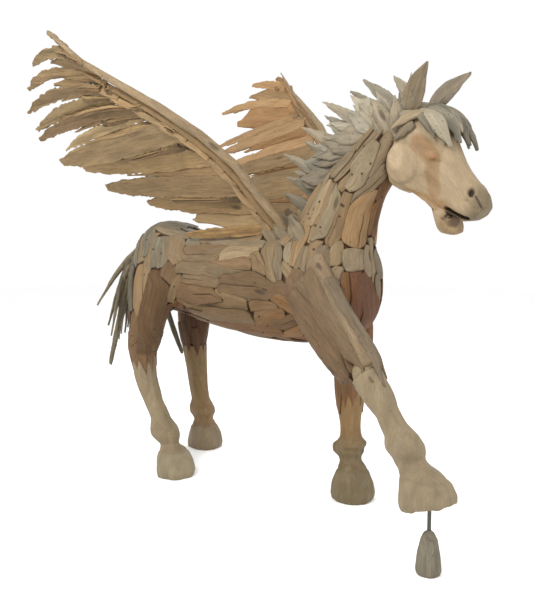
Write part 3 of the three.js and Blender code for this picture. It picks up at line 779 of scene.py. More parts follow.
def plank(name, tone, slot, columns=15, ragged=0.004, ridges=0.003, cup=0.0, round_off=0.35, widen=1.0,
          spread=0.1):
    """A weathered plank in place of a CAD node: ragged edges, long ridges and hollows, worn corners."""
    size = np.array(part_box(name)[1]) - np.array(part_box(name)[0])
    rows = int(np.clip(np.linalg.norm(size) / 0.009, 16, 90))
    t = traced(name, rows, columns)
    key = rng.uniform(0, 50)
    x = t["x"][:, None] + 0 * t["y"]
    y, u = t["y"].copy(), t["u"][None, :]
    y = y + u * (widen - 1) * (t["high"] - t["low"])[:, None] / 2
    spot = np.stack([x, np.full_like(x, key), np.zeros_like(x)], axis=2)
    edge = 0.6 * noise(spot, (22, 1, 1), 2) + 0.5 * noise(spot, (60, 1, 1), 4)
    other = 0.6 * noise(spot, (25, 1, 1), 8) + 0.5 * noise(spot, (70, 1, 1), 9)
    y = y + np.clip(u, 0, 1) ** 2 * edge * ragged + np.clip(-u, 0, 1) ** 2 * other * ragged
    mid = (t["top"] + t["bottom"]) / 2
    thick = np.maximum((t["top"] - t["bottom"]) / 2, 0.004)
    place = np.stack([x, y, np.full_like(x, key)], axis=2)
    long_ridge = fractal(place, (5, 75, 1), 3)
    knobs = noise(place, (14, 22, 1), 6)
    ends = np.minimum(x - x.min(), x.max() - x)
    worn = (1 - round_off * np.abs(u) ** 5) * (0.35 + 0.65 * ramp(ends, 0, 0.02))
    upper = mid + thick * worn + ridges * (long_ridge + 0.7 * knobs)
    upper = upper - cup * (1 - u * u) * ramp(ends, 0, 0.08)
    lower_ridge = fractal(place + 3.3, (5, 75, 1), 5)
    lower = mid - thick * worn + ridges * lower_ridge - 0.3 * cup * (1 - u * u) * ramp(ends, 0, 0.08)
    lower = np.minimum(lower, upper - 0.004)
    grids = []
    for z in (upper, lower):
        local = np.stack([x, y, z], axis=2)
        grids.append(local.reshape(-1, 3))
    local = np.concatenate(grids)
    verts = local @ t["axes"] + t["middle"]
    # Painted shade in the hollows between the ridges and in the cup, and in the lower face's hollows.
    dip = np.clip(-long_ridge * 1.1 - 0.15, 0, 1) * 0.5 + 0.35 * np.clip(cup / 0.012, 0, 1) * (1 - u * u)
    painted_shade = np.concatenate([np.broadcast_to(dip, x.shape).ravel(),
                           np.clip(-lower_ridge - 0.1, 0, 1).ravel() * 0.5])
    base = tinted(tone, spread)
    tones = np.broadcast_to(base, (len(verts), 3))
    pile = Pile()
    offset = np.array([rng.uniform(0, 40), rng.uniform(0, 40), rng.uniform(0, 40)])
    pile.add(verts, [closed_faces(*x.shape)], tones, local + offset, np.clip(painted_shade, 0, 1))
    pile.piece(name + "_wood", slot, [name])


FEATHER_TONES = [(180, 158, 122), (172, 146, 106), (188, 160, 118), (162, 136, 98), (178, 152, 110),
                 (158, 130, 92), (190, 166, 124), (176, 148, 106), (186, 158, 112), (168, 138, 96),
                 (160, 132, 92), (184, 148, 98)]
for i in range(12):
    plank(f"wing_right_feather_{i + 1}", FEATHER_TONES[i], "wing_driftwood", ragged=0.011, ridges=0.008,
          cup=0.007 if i % 2 else 0.003)
for i in range(9):
    tone = (190, 155, 112) if i < 5 else (154, 129, 92)
    plank(f"wing_left_feather_{i + 1}", tone, "wing_driftwood", ragged=0.011, ridges=0.008, cup=0.004)
for side in ("right", "left"):
    plank(f"wing_{side}_outer_strip", (162, 142, 112), "grey_driftwood", 11, 0.003, 0.002)
    plank(f"wing_{side}_inner_strip", (150, 124, 88), "wing_driftwood", 11, 0.004, 0.002)


def edge_lines(name, toward):
    """The two long edges of a plank and the line midway between them, running the way that toward points."""
    t = traced(name, 40, 3)
    middle = (t["top"] + t["bottom"]) / 2
    lines = []
    for k in range(3):
        local = np.stack([t["x"], t["y"][:, k], middle[:, k]], axis=1)
        lines.append(local @ t["axes"] + t["middle"])
    if (lines[1][-1] - lines[1][0]) @ np.array(toward) < 0:
        lines = [line[::-1] for line in lines]
    return lines


def between(pile, upper, lower, start, end, depth, tone, key):
    """A plank that closes the gap between two feathers, set back behind them, with a ragged point."""
    a, b = edge_lines(upper, (-1, 0, 0)), edge_lines(lower, (-1, 0, 0))
    top_edge = min((a[0], a[2]), key=lambda line: np.linalg.norm(line.mean(axis=0) - b[1].mean(axis=0)))
    low_edge = min((b[0], b[2]), key=lambda line: np.linalg.norm(line.mean(axis=0) - a[1].mean(axis=0)))
    rows, columns = 40, 9
    s = np.linspace(start, end, rows)
    share = np.linspace(0, 1, 40)
    top_line = np.stack([np.interp(s, share, top_edge[:, k]) for k in range(3)], axis=1)
    low_line = np.stack([np.interp(s, share, low_edge[:, k]) for k in range(3)], axis=1)
    across = low_line - top_line
    width = np.linalg.norm(across, axis=1)
    over = np.clip(0.014 / np.maximum(width, 0.02), 0.1, 0.6)
    taper = ramp(np.linspace(1, 0, rows), 0, 0.35)
    wave = 0.10 * noise(np.stack([s * 9, np.full(rows, key), np.zeros(rows)], axis=1), 1)
    low_share = 0.5 - (0.5 + over) * (0.25 + 0.75 * taper) + wave
    high_share = 0.5 + (0.5 + over) * (0.15 + 0.85 * taper) + wave
    u = np.linspace(0, 1, columns)
    w = low_share[:, None] * (1 - u) + high_share[:, None] * u
    along = np.gradient((top_line + low_line) / 2, axis=0)
    out = unit(np.cross(along, across))
    out = out * np.sign(out[:, 1:2]) * np.sign(top_line[0, 1])
    points = top_line[:, None] + across[:, None] * w[..., None]
    local = np.stack([np.broadcast_to((s * 0.6)[:, None], w.shape), w * width[:, None],
                      np.full_like(w, key)], axis=2)
    relief = 0.004 * fractal(local, (6, 60, 1), 2)
    rim = np.abs(2 * u - 1)[None, :] ** 4
    upper_side = points + out[:, None] * (relief - depth + 0.006 * (1 - rim))[..., None]
    lower_side = points + out[:, None] * (relief * 0.6 - depth - 0.004 - 0.006 * (1 - rim))[..., None]
    verts = np.concatenate([upper_side.reshape(-1, 3), lower_side.reshape(-1, 3)])
    # Painted shade in the plank's hollows.
    dip = np.clip(-relief / 0.004, 0, 1) * 0.5
    pile.add(verts, [closed_faces(rows, columns)], tinted(tone, 0.12),
             np.concatenate([local.reshape(-1, 3)] * 2), np.concatenate([dip.ravel()] * 2))


for side, count in (("right", 12), ("left", 9)):
    infill = Pile()
    for i in range(1, count):
        pair = (f"wing_{side}_feather_{i}", f"wing_{side}_feather_{i + 1}")
        reach = 0.68 if i > 4 else 0.55
        if side == "left":
            between(infill, *pair, 0.0, 0.72, -0.006, (182, 145, 101), i * 3.7)
        else:
            between(infill, *pair, 0.0, reach, 0.006, (168, 140, 100), i * 3.7)
            # A second plank set further back, in a dark tone: painted shade in the cracks between the
            # feathers.
            between(infill, *pair, 0.03, reach * 0.8, 0.020, (132, 106, 74), i * 5.1 + 40)
    if side == "left":
        strips = ("wing_left_outer_strip", "wing_left_inner_strip")
        stretches = [(0.0, 0.42), (0.22, 0.62), (0.45, 0.80), (0.62, 0.94), (0.78, 1.0)]
        for i, (start, end) in enumerate(stretches):
            tone = (188, 142, 92) if i % 2 else (172, 138, 98)
            between(infill, *strips, start, end, 0.003 * (i % 3) - 0.004, tone, 60 + i * 2.3)
    infill.piece(f"wing_{side}_infill", "wing_driftwood")

for i in range(10):
    plank(f"mane_shard_{i + 1}", (170, 160, 140), "mane_driftwood", 13, 0.006, 0.003, 0.002)
for i in range(4):
    plank(f"forelock_shard_{i + 1}", (150, 142, 124), "mane_driftwood", 11, 0.003, 0.002)
    plank(f"tail_stick_{i + 1}", (124, 114, 94), "grey_driftwood", 17, 0.003, 0.0025, 0, 0.1)
plank("ear_right", (166, 151, 126), "mane_driftwood", 13, 0.002, 0.002, 0.009, 0.2, 1.12)
plank("ear_left", (156, 144, 124), "mane_driftwood", 13, 0.001, 0.001, 0.006, 0.2, 1.6)
plank("upper_foreleg_right_rear_board", (128, 102, 76), "brown_driftwood", 17, 0.004, 0.002, 0, 0.1)
plank("upper_foreleg_right_front_board", (143, 125, 99), "tan_driftwood", 17, 0.004, 0.002, 0, 0.1)


def shard(pile, spine, width, thick, out, tone, root=0.55, key=0.0, blunt=1.0):
    """A loose splinter along a bent spine of points, broad in the middle and pointed at its far end."""
    spine = np.array(spine, float)
    length = np.linalg.norm(np.diff(spine, axis=0), axis=1).sum()
    rows, columns = max(int(length / 0.008), 12), 9
    s = np.linspace(0, 1, rows)
    knots = np.linspace(0, 1, len(spine))
    fit = [np.polyfit(knots, spine[:, k], min(2, len(spine) - 1)) for k in range(3)]
    line = np.stack([np.polyval(f, s) for f in fit], axis=1)
    along = unit(np.gradient(line, axis=0))
    side = unit(np.cross(np.broadcast_to(out, along.shape), along))
    face = unit(np.cross(along, side))
    profile = np.minimum(root + (1 - root) * ramp(s, 0, 0.3), 1) * (1 - blunt * ramp(s, 0.5, 1.04)) + 0.03
    u = np.linspace(-1, 1, columns)
    spot = np.stack([s * length, np.full(rows, key), np.zeros(rows)], axis=1)
    bend = width * 0.16 * noise(spot, (13, 1, 1), 3)
    swell = 1 + 0.22 * noise(spot, (40, 1, 1), 7)
    y = u[None, :] * (width / 2 * profile)[:, None] * swell[:, None] + bend[:, None]
    local = np.stack([np.broadcast_to((s * length)[:, None], y.shape), y, np.full_like(y, key)], axis=2)
    relief = 0.0042 * fractal(local, (9, 70, 1), 5) + 0.003 * noise(local, (22, 30, 1), 8)
    body = thick / 2 * (1 - 0.6 * np.abs(u[None, :]) ** 4) * (0.4 + 0.6 * profile[:, None])
    base = line[:, None] + side[:, None] * y[..., None]
    top = base + face[:, None] * (body + relief)[..., None]
    low = base - face[:, None] * body[..., None]
    verts = np.concatenate([top.reshape(-1, 3), low.reshape(-1, 3)])
    # Painted shade in the splinter's hollows and, lighter, over its whole underside.
    dip = np.clip(-relief / 0.003, 0, 1) * 0.6
    pile.add(verts, [closed_faces(rows, columns)], tinted(tone, 0.1),
             np.concatenate([local.reshape(-1, 3)] * 2) + key,
             np.concatenate([dip.ravel(), np.full(dip.size, 0.3)]))


neck_verts, _ = node_mesh("neck")
crest_x = np.linspace(0.40, 0.84, 45)
crest = []
for x in crest_x:
    here = neck_verts[np.abs(neck_verts[:, 0] - x) < 0.06]
    crest.append((x, here[:, 2].max()))
crest = np.array(crest)
fit = np.polyfit(crest[:, 0], crest[:, 1], 3)
manes = Pile()
for layer, (sideways, count, longest, tone) in enumerate([
        (-0.050, 14, 0.20, (172, 162, 142)), (-0.022, 15, 0.24, (192, 184, 164)),
        (0.020, 15, 0.20, (164, 154, 134)), (0.052, 14, 0.17, (154, 143, 122))]):
    for i in range(count):
        x = 0.42 + (0.86 - 0.42) * (i + rng.uniform(0.2, 0.8)) / count
        z = np.polyval(fit, x) - 0.035 - abs(sideways) * 0.7
        slope = np.polyval(np.polyder(fit), x)
        tangent = unit(np.array([1, 0, slope]))
        back = unit(np.array([-slope, 0, 1.0]))
        heading = unit(back * rng.uniform(0.45, 0.75) - tangent * rng.uniform(0.55, 0.95))
        length = longest * rng.uniform(0.7, 1.05)
        root = np.array([x, sideways, z]) + tangent * 0.03
        tip_lean = np.array([0, np.sign(sideways) * rng.uniform(-0.01, 0.03), 0])
        spine = [root - heading * 0.03, root + heading * length * 0.45 + tip_lean * 0.6 - back * 0.004,
                 root + heading * length + tip_lean]
        out = unit(np.array([0.15, np.sign(sideways), 0.35]))
        faded = np.array(tone) * (0.84 + 0.20 * ramp(x, 0.5, 0.75))
        shard(manes, spine, rng.uniform(0.056, 0.092), 0.019, out, faded, 0.7, 60 + layer * 9 + i * 0.37)
manes.piece("mane_splinters", "mane_driftwood")

# Splinters that hang over the forehead, and flat ones that cap the poll behind the ears.
FORELOCK = [
    ((0.915, -0.052, 1.800), (1.000, -0.070, 1.745), (1.050, -0.062, 1.640), 0.064, (178, 170, 150)),
    ((0.925, -0.025, 1.812), (1.020, -0.030, 1.770), (1.085, -0.030, 1.660), 0.066, (140, 133, 116)),
    ((0.930, 0.005, 1.815), (1.030, 0.010, 1.775), (1.105, 0.005, 1.650), 0.072, (122, 116, 100)),
    ((0.930, 0.035, 1.810), (1.030, 0.045, 1.768), (1.110, 0.045, 1.635), 0.070, (138, 130, 112)),
    ((0.920, 0.060, 1.800), (1.010, 0.080, 1.745), (1.060, 0.085, 1.650), 0.064, (130, 123, 106)),
    ((0.900, -0.065, 1.790), (0.960, -0.088, 1.745), (1.000, -0.088, 1.680), 0.042, (150, 142, 124)),
    ((0.950, -0.010, 1.820), (1.040, -0.012, 1.765), (1.080, -0.015, 1.700), 0.040, (160, 152, 134)),
    ((0.960, 0.020, 1.822), (1.050, 0.028, 1.765), (1.085, 0.03, 1.690), 0.040, (146, 138, 120)),
]
POLL = [
    ((0.930, -0.060, 1.790), (0.870, -0.085, 1.775), (0.800, -0.085, 1.735), 0.055, (178, 162, 134)),
    ((0.900, -0.085, 1.750), (0.860, -0.092, 1.725), (0.810, -0.088, 1.690), 0.050, (168, 150, 122)),
    ((0.930, -0.030, 1.815), (0.860, -0.040, 1.815), (0.780, -0.045, 1.775), 0.060, (166, 156, 136)),
    ((0.930, 0.010, 1.825), (0.850, 0.010, 1.830), (0.760, 0.010, 1.800), 0.060, (158, 149, 130)),
    ((0.930, 0.050, 1.805), (0.860, 0.055, 1.800), (0.780, 0.055, 1.760), 0.060, (166, 154, 132)),
    ((0.920, 0.080, 1.770), (0.860, 0.088, 1.750), (0.800, 0.085, 1.710), 0.055, (160, 144, 118)),
]
# Short boards that fill the withers between the neck and the wings' roots.
WITHERS = []
for y in (-0.17, -0.13, -0.08, -0.03, 0.03, 0.08, 0.13, 0.17):
    for x in (0.20, 0.27, 0.34):
        low = np.array([x + 0.07, y, 1.30 - abs(y) * 0.25])
        rise = np.array([-0.10 + rng.normal(0, 0.02), y * 0.05, 0.12 + rng.uniform(-0.03, 0.03)])
        tone = (140, 126, 102) if x > 0.25 else (132, 116, 92)
        WITHERS.append((low, low + rise * 0.5, low + rise, 0.062, tone))
withers = Pile()
for i, (root, middle, tip, width, tone) in enumerate(WITHERS):
    out = unit((0.3, np.sign(root[1]), 0.5))
    spine = [root + SHIFT, middle + SHIFT, tip + SHIFT]
    shard(withers, spine, width, 0.02, out, tone, 0.8, 400 + i * 1.3, 0.7)
withers.piece("withers_boards", "grey_driftwood")

lock = Pile()
for i, (root, middle, tip, width, tone) in enumerate(FORELOCK + POLL):
    out = unit(np.array(middle) - np.array([0.93, 0.07, 1.66]))
    spine = [np.array(root) + SHIFT, np.array(middle) + SHIFT, np.array(tip) + SHIFT]
    shard(lock, spine, width, 0.024, out, tone, 0.7, 130 + i * 2.3, 0.85)
lock.piece("forelock_splinters", "mane_driftwood")

# Bare branches gathered into the tail.
tail = Pile()
for i in range(15):
    angle = rng.uniform(0, 2 * math.pi)
    ring = np.array([math.cos(angle), math.sin(angle)]) * rng.uniform(0.01, 0.05)
    fan = rng.uniform(-0.08, 0.10)
    drop = rng.uniform(0.30, 0.62)
    root = np.array([-0.86 + ring[0] * 0.5, ring[1] - 0.02, 1.25]) + SHIFT
    spine = [root, root + (-0.14 - fan * 0.3, ring[1] * 0.6 - 0.02, -drop * 0.4),
             root + (-0.21 - fan, ring[1] * 2.2 - 0.03, -drop)]
    tone = (136, 125, 101) if i % 3 else (108, 97, 78)
    shard(tail, spine, rng.uniform(0.026, 0.05), 0.026, (-0.9, -0.4, 0.1), tone, 0.8, 180 + i * 1.9)
tail.piece("tail_branches", "grey_driftwood")

# Boards that lie along the leading edge of each wing and close it against the feathers' roots.
for side in ("right", "left"):
    coverts = Pile()
    strip = "inner" if side == "right" else "outer"
    spine_line = edge_lines(f"wing_{side}_{strip}_strip", (-1, 0, 1))[1]
    share = np.linspace(0, 1, len(spine_line))
    outward = np.array([0.1, -1 if side == "right" else 1, 0.15])
    rows = [(0.040, 11, 0.16), (0.085, 11, 0.16), (0.130, 10, 0.15)]
    if side == "right":
        rows = [(0.030, 9, 0.16)]
    wide = 0.030 if side == "right" else 0.062
    for down, count, length in rows:
        for i in range(count):
            s = 0.04 + (0.82 if side == "right" else 0.92) * (i + rng.uniform(0, 0.5)) / count
            ends = [np.array([np.interp(min(s + k * length, 1), share, spine_line[:, a]) for a in range(3)])
                    for k in (0, 0.5, 1)]
            lean = np.array([-0.75, 0, -0.65]) * down
            inner = -outward * 0.012 * (1 if down > 0.04 else -0.4)
            spine = [e + lean * (1.0 + 0.25 * k) + inner * (side == "left") for k, e in enumerate(ends)]
            tone = (176, 148, 108) if side == "right" else (184, 146, 100)
            shard(coverts, spine, wide, 0.016, outward, tone, 0.85, 230 + i * 3.1 + down * 90)
    coverts.piece(f"wing_{side}_coverts", "wing_driftwood")


# ---------------------------------------------------------------- head, lower legs, peg and rod

def mixed(tones, colour, share):
    """Colours moved toward another by a share from 0 to 1 at each point."""
    return tones + (linear(colour) - tones) * np.clip(share, 0, 1)[:, None]


def within(measure, inner, outer):
    """1 inside the inner measure, 0 beyond the outer one, smooth between."""
    return 1 - ramp(measure, inner, outer)


def carve_head():
    """The head: one carved form with a cheek disc, lidded eyes, nostrils, a mouth hollow and a lip crack."""
    chin = [((1.046, 0, 1.338), (0.050, 0.040, 0.036)), ((0.985, 0, 1.385), (0.05, 0.043, 0.032))]
    verts, quads, normals = remeshed(["head"], 0.004, 9, chin)
    place = verts - SHIFT
    place[:, 1] = np.abs(place[:, 1])

    def near(centre, radii):
        return np.linalg.norm((place - np.array(centre)) / np.array(radii), axis=1)

    def line_near(a, b, radius):
        a, b = np.array(a), np.array(b)
        t = np.clip((place - a) @ (b - a) / ((b - a) @ (b - a)), 0, 1)
        return np.linalg.norm(place - (a + t[:, None] * (b - a)), axis=1) / radius

    lift = np.zeros(len(verts))
    cheek = near((0.838, 0.09, 1.592), (0.092, 0.08, 0.088))
    lift += 0.007 * (1 - ramp(cheek, 0.8, 1.05))
    lift -= 0.003 * (ramp(cheek, 0.9, 1.05) - ramp(cheek, 1.05, 1.45))
    lift -= 0.008 * np.exp(-near((0.985, 0.095, 1.60), (0.034, 0.05, 0.03)) ** 2)
    lift += 0.010 * np.exp(-near((0.992, 0.095, 1.606), (0.015, 0.04, 0.012)) ** 2)
    lift += 0.008 * np.exp(-line_near((0.935, 0.1, 1.668), (1.015, 0.08, 1.637), 0.016) ** 2)
    lift -= 0.004 * np.exp(-line_near((0.972, 0.1, 1.590), (1.014, 0.08, 1.588), 0.005) ** 2)
    lift += 0.006 * np.exp(-line_near((0.965, 0.09, 1.555), (1.08, 0.07, 1.49), 0.02) ** 2)
    lift -= 0.005 * np.exp(-line_near((0.95, 0.09, 1.52), (1.05, 0.06, 1.45), 0.025) ** 2)
    nostril = near((1.138, 0.052, 1.462), (0.014, 0.024, 0.022))
    lift -= 0.018 * (1 - ramp(nostril, 0.4, 1.1))
    lift += 0.006 * np.exp(-((nostril - 1.55) / 0.4) ** 2)
    crack = line_near((1.155, 0.05, 1.445), (1.180, 0.043, 1.400), 0.0045)
    lift -= 0.006 * np.exp(-crack ** 2)
    lip = line_near((1.075, 0.055, 1.405), (1.17, 0.05, 1.375), 0.014)
    lift += 0.004 * np.exp(-lip ** 2)
    facets = noise(place, (9, 14, 9), 2)
    lift += 0.004 * np.tanh(facets * 3) + 0.0012 * fractal(place, 30, 3)
    verts = verts + normals * lift[:, None]
    slit = line_near((1.030, 0.04, 1.408), (1.115, 0.04, 1.362), 0.0135)
    parted = (1 - ramp(slit, 0.55, 1.0)) * ramp(place[:, 1], 0.006, 0.02)
    verts[:, 1] -= parted * 0.72 * (verts[:, 1] - SHIFT[1])
    hollow = 1 - ramp(near((1.060, 0.04, 1.352), (0.038, 0.05, 0.032)), 0.5, 1.0)
    verts[:, 1] -= hollow * 0.30 * (verts[:, 1] - SHIFT[1])
    throat = [(0.80, 1.49), (0.856, 1.484), (0.937, 1.440), (0.967, 1.412), (0.980, 1.36), (0.992, 1.30)]
    under = np.interp(place[:, 0], [x for x, _ in throat], [z for _, z in throat])
    hung = np.clip(under - place[:, 2], 0, 1) * ramp(place[:, 0], 0.80, 0.87) * (place[:, 0] < 0.99)
    verts[:, 2] += hung * 0.88
    jaw = (1 - ramp(place[:, 2] + (place[:, 0] - 1.05) * 0.1, 1.356, 1.366)) * ramp(place[:, 0], 1.05, 1.09)
    verts[:, 0] -= jaw * np.clip(place[:, 0] - 1.07, 0, 1) * 0.8

    tones = np.broadcast_to(linear((176, 156, 126)), verts.shape).copy()
    brow_band = line_near((0.925, 0.09, 1.67), (0.99, 0.09, 1.60), 0.045)
    cheek_band = line_near((0.985, 0.09, 1.58), (0.985, 0.07, 1.47), 0.038)
    jaw_band = line_near((0.86, 0.05, 1.47), (1.02, 0.04, 1.42), 0.035)
    for colour, share in (
            ((196, 176, 146), 0.8 * within(near((0.825, 0.09, 1.62), (0.045, 0.08, 0.06)), 0.7, 1.1)),
            ((152, 118, 80), 0.85 * within(brow_band, 0.5, 1)),
            ((154, 124, 88), 0.8 * within(cheek_band, 0.5, 1)),
            ((164, 128, 88), 0.75 * within(jaw_band, 0.4, 1)),
            ((164, 122, 84), within(near((0.992, 0.095, 1.606), (0.02, 0.05, 0.016)), 0.6, 1)),
            ((118, 104, 78), 0.9 * ramp(place[:, 0] + (1.45 - place[:, 2]) * 0.4, 1.11, 1.19)),
            ((150, 124, 90), 0.8 * within(near((1.05, 0.0, 1.345), (0.06, 0.09, 0.06)), 0.8, 1.1))):
        tones = mixed(tones, colour, share)
    tones = tones * (1 + 0.07 * fractal(place, 12, 2))[:, None]
    # Painted shade: the mouth's inside, the mouth hollow, the slit between the lips, the nostrils, the lip
    # crack and the crease under the lid are darkened where shade falls in them.
    inside = within(near((1.045, 0.0, 1.388), (0.060, 0.046, 0.034)), 0.8, 1.0)
    inside = inside * (np.abs(normals[:, 2]) > 0.3)
    tones = mixed(tones, (84, 63, 41), 0.95 * hollow)
    tones = mixed(tones, (58, 42, 28), 1 - ramp(slit, 0.6, 1.0))
    tones = mixed(tones, (62, 46, 32), np.maximum(inside, (1 - ramp(nostril, 0.5, 0.95))))
    tones = mixed(tones, (60, 46, 34), np.exp(-crack ** 2))
    lid = line_near((0.972, 0.1, 1.590), (1.014, 0.08, 1.588), 0.006)
    tones = mixed(tones, (120, 96, 70), 0.7 * np.exp(-lid ** 2))
    pile = Pile()
    turned = np.stack([place[:, 0] * 0.6 - place[:, 2] * 0.8, verts[:, 1],
                       place[:, 0] * 0.8 + place[:, 2] * 0.6], axis=1)
    pile.add(verts, [quads], tones, turned + 3, 0.0)
    pile.piece("head_wood", "carved_wood", ["head"])


def carve_leg(name, tone, hoof_tone, hoof_top, low_tone, waist, raised=0.0, lumps=()):
    """A lower leg cut from one trunk, with long tool facets and a hoof marked off by a groove.

    waist says how much wider or narrower the leg is at some heights: the pastern and the fetlock.
    raised says how far the pastern and the fetlock move up, and lumps round off the leg's top."""
    verts, quads, normals = remeshed([name], 0.0045, 8, lumps)
    key = rng.uniform(0, 20)
    levels = np.linspace(verts[:, 2].min(), verts[:, 2].max(), 40)
    slices = [verts[np.abs(verts[:, 2] - z) < 0.012, :2] for z in levels]
    middle = [(part.min(axis=0) + part.max(axis=0)) / 2 for part in slices]
    centre = np.stack([np.interp(verts[:, 2], levels, [m[k] for m in middle]) for k in range(2)], axis=1)
    factor = 1.0
    for level, spread, change in waist:
        factor = factor + change * np.exp(-((verts[:, 2] - level) / spread) ** 2)
    verts[:, :2] = centre + (verts[:, :2] - centre) * np.reshape(factor, (-1, 1))
    verts[:, 2] = verts[:, 2] + raised * np.exp(-((verts[:, 2] - 0.19) / 0.09) ** 2)
    place = verts - SHIFT + key
    height = verts[:, 2].copy()
    facets = np.tanh(3 * noise(place, (26, 26, 6), 2))
    fibre = fractal(place, (50, 50, 7), 5)
    groove = np.exp(-((height - hoof_top) / 0.006) ** 2)
    lift = 0.0034 * facets + 0.0010 * fibre - 0.002 * groove
    lift = lift + 0.003 * (1 - ramp(height, hoof_top - 0.02, hoof_top))
    verts = verts + normals * lift[:, None]
    verts[:, 2] = np.maximum(verts[:, 2], height.min())
    tones = np.broadcast_to(linear(tone), verts.shape).copy()
    tones = mixed(tones, low_tone, 1 - ramp(height, hoof_top + 0.09, hoof_top + 0.22))
    tones = mixed(tones, hoof_tone, 1 - ramp(height, hoof_top - 0.012, hoof_top + 0.012))
    tones = tones * (1 + 0.16 * fractal(place, (14, 14, 4), 2))[:, None]
    # Painted shade in the hoof groove and between the fibres.
    painted_shade = np.clip(0.10 * groove + 0.22 * np.clip(-fibre - 0.1, 0, 1), 0, 1)
    pile = Pile()
    pile.add(verts, [quads], tones, place[:, [2, 0, 1]], painted_shade)
    pile.piece(name + "_wood", "carved_wood", [name])


carve_head()
carve_leg("lower_foreleg_right", (150, 134, 106), (150, 135, 108), 0.372, (150, 134, 107),
          [(0.58, 0.075, -0.15), (0.425, 0.028, -0.19), (0.47, 0.03, 0.04)],
          lumps=[((0.802, -0.262, 0.735), (0.066, 0.049, 0.066)),
                 ((0.79, -0.262, 0.775), (0.04, 0.044, 0.05))])
carve_leg("lower_foreleg_left", (142, 112, 70), (122, 108, 80), 0.150, (122, 104, 72),
          [(0.38, 0.08, -0.12), (0.25, 0.036, 0.34), (0.165, 0.022, -0.15), (0.06, 0.06, 0.03)], 0.045)
carve_leg("lower_hindleg_right", (152, 136, 108), (153, 141, 115), 0.135, (146, 130, 102),
          [(0.245, 0.035, 0.13), (0.165, 0.025, -0.13)])
carve_leg("lower_hindleg_left", (134, 108, 70), (140, 124, 98), 0.143, (138, 112, 76),
          [(0.255, 0.035, 0.12), (0.185, 0.025, -0.10)])

# The whole shell with the limbs fused to it, for boards that lap from one limb part onto the next.
whole_verts, whole_quads, _ = remeshed(
    SKIN + ["upper_foreleg_right_rear_board", "upper_foreleg_right_front_board", "lower_foreleg_right",
            "lower_foreleg_left", "lower_hindleg_right", "lower_hindleg_left"], 0.012, 8)
whole = BVHTree.FromPolygons(whole_verts.tolist(), whole_quads.tolist())


def draped(pile, start, end, width, tone, proud, key):
    """A thin pointed board that follows the limb under it from start to end."""
    columns = 9
    rows = int(np.clip(np.linalg.norm(np.array(end) - np.array(start)) / 0.009, 20, 60))
    s = np.linspace(0, 1, rows)
    u = np.linspace(-1, 1, columns)
    start, end = np.array(start, float), np.array(end, float)
    found = [whole.find_nearest(Vector(start + (end - start) * k)) for k in s]
    line = np.array([f[0] for f in found])
    out = unit(np.array([f[1] for f in found]))
    side = unit(np.cross(out, np.gradient(line, axis=0)))
    profile = (0.75 + 0.25 * ramp(s, 0, 0.3)) * (1 - ramp(s, 0.5, 1.04)) + 0.04
    y = u[None, :] * (profile * width / 2)[:, None]
    y = y * (1 + 0.15 * noise(np.stack([s * 6, np.full(rows, key), s * 0], axis=1), 1))[:, None]
    top, low = np.zeros((rows, columns, 3)), np.zeros((rows, columns, 3))
    for i in range(rows):
        for j in range(columns):
            hit, normal, _, _ = whole.find_nearest(Vector(line[i] + side[i] * y[i, j]))
            dome = proud * (1 - 0.5 * abs(u[j]) ** 3) * (1 - 0.6 * s[i] ** 3)
            top[i, j] = np.array(hit) + np.array(normal) * dome
            low[i, j] = np.array(hit) - np.array(normal) * 0.004
    local = np.stack([np.broadcast_to((s * np.linalg.norm(end - start))[:, None], y.shape), y,
                      np.full_like(y, key)], axis=2)
    relief = 0.0016 * fractal(local, (8, 85, 1), 5)
    top = top + out[:, None] * relief[..., None]
    verts = np.concatenate([top.reshape(-1, 3), low.reshape(-1, 3)])
    # Painted shade in the board's hollows and over its underside.
    pile.add(verts, [closed_faces(rows, columns)], tinted(tone, 0.08),
             np.concatenate([local.reshape(-1, 3)] * 2) + key,
             np.concatenate([np.clip(-relief / 0.0016, 0, 1).ravel() * 0.5, np.full(y.size, 0.5)]))


# Pointed boards that lap over the top of each lower leg: the leg, how far down, colour, how many, width.
LAPS = [("lower_foreleg_right", 0.05, (137, 116, 91), 9, 0.075),
        ("lower_foreleg_left", 0.14, (126, 92, 58), 9, 0.058),
        ("lower_hindleg_right", 0.12, (128, 98, 66), 9, 0.058),
        ("lower_hindleg_left", 0.12, (92, 60, 28), 9, 0.058)]
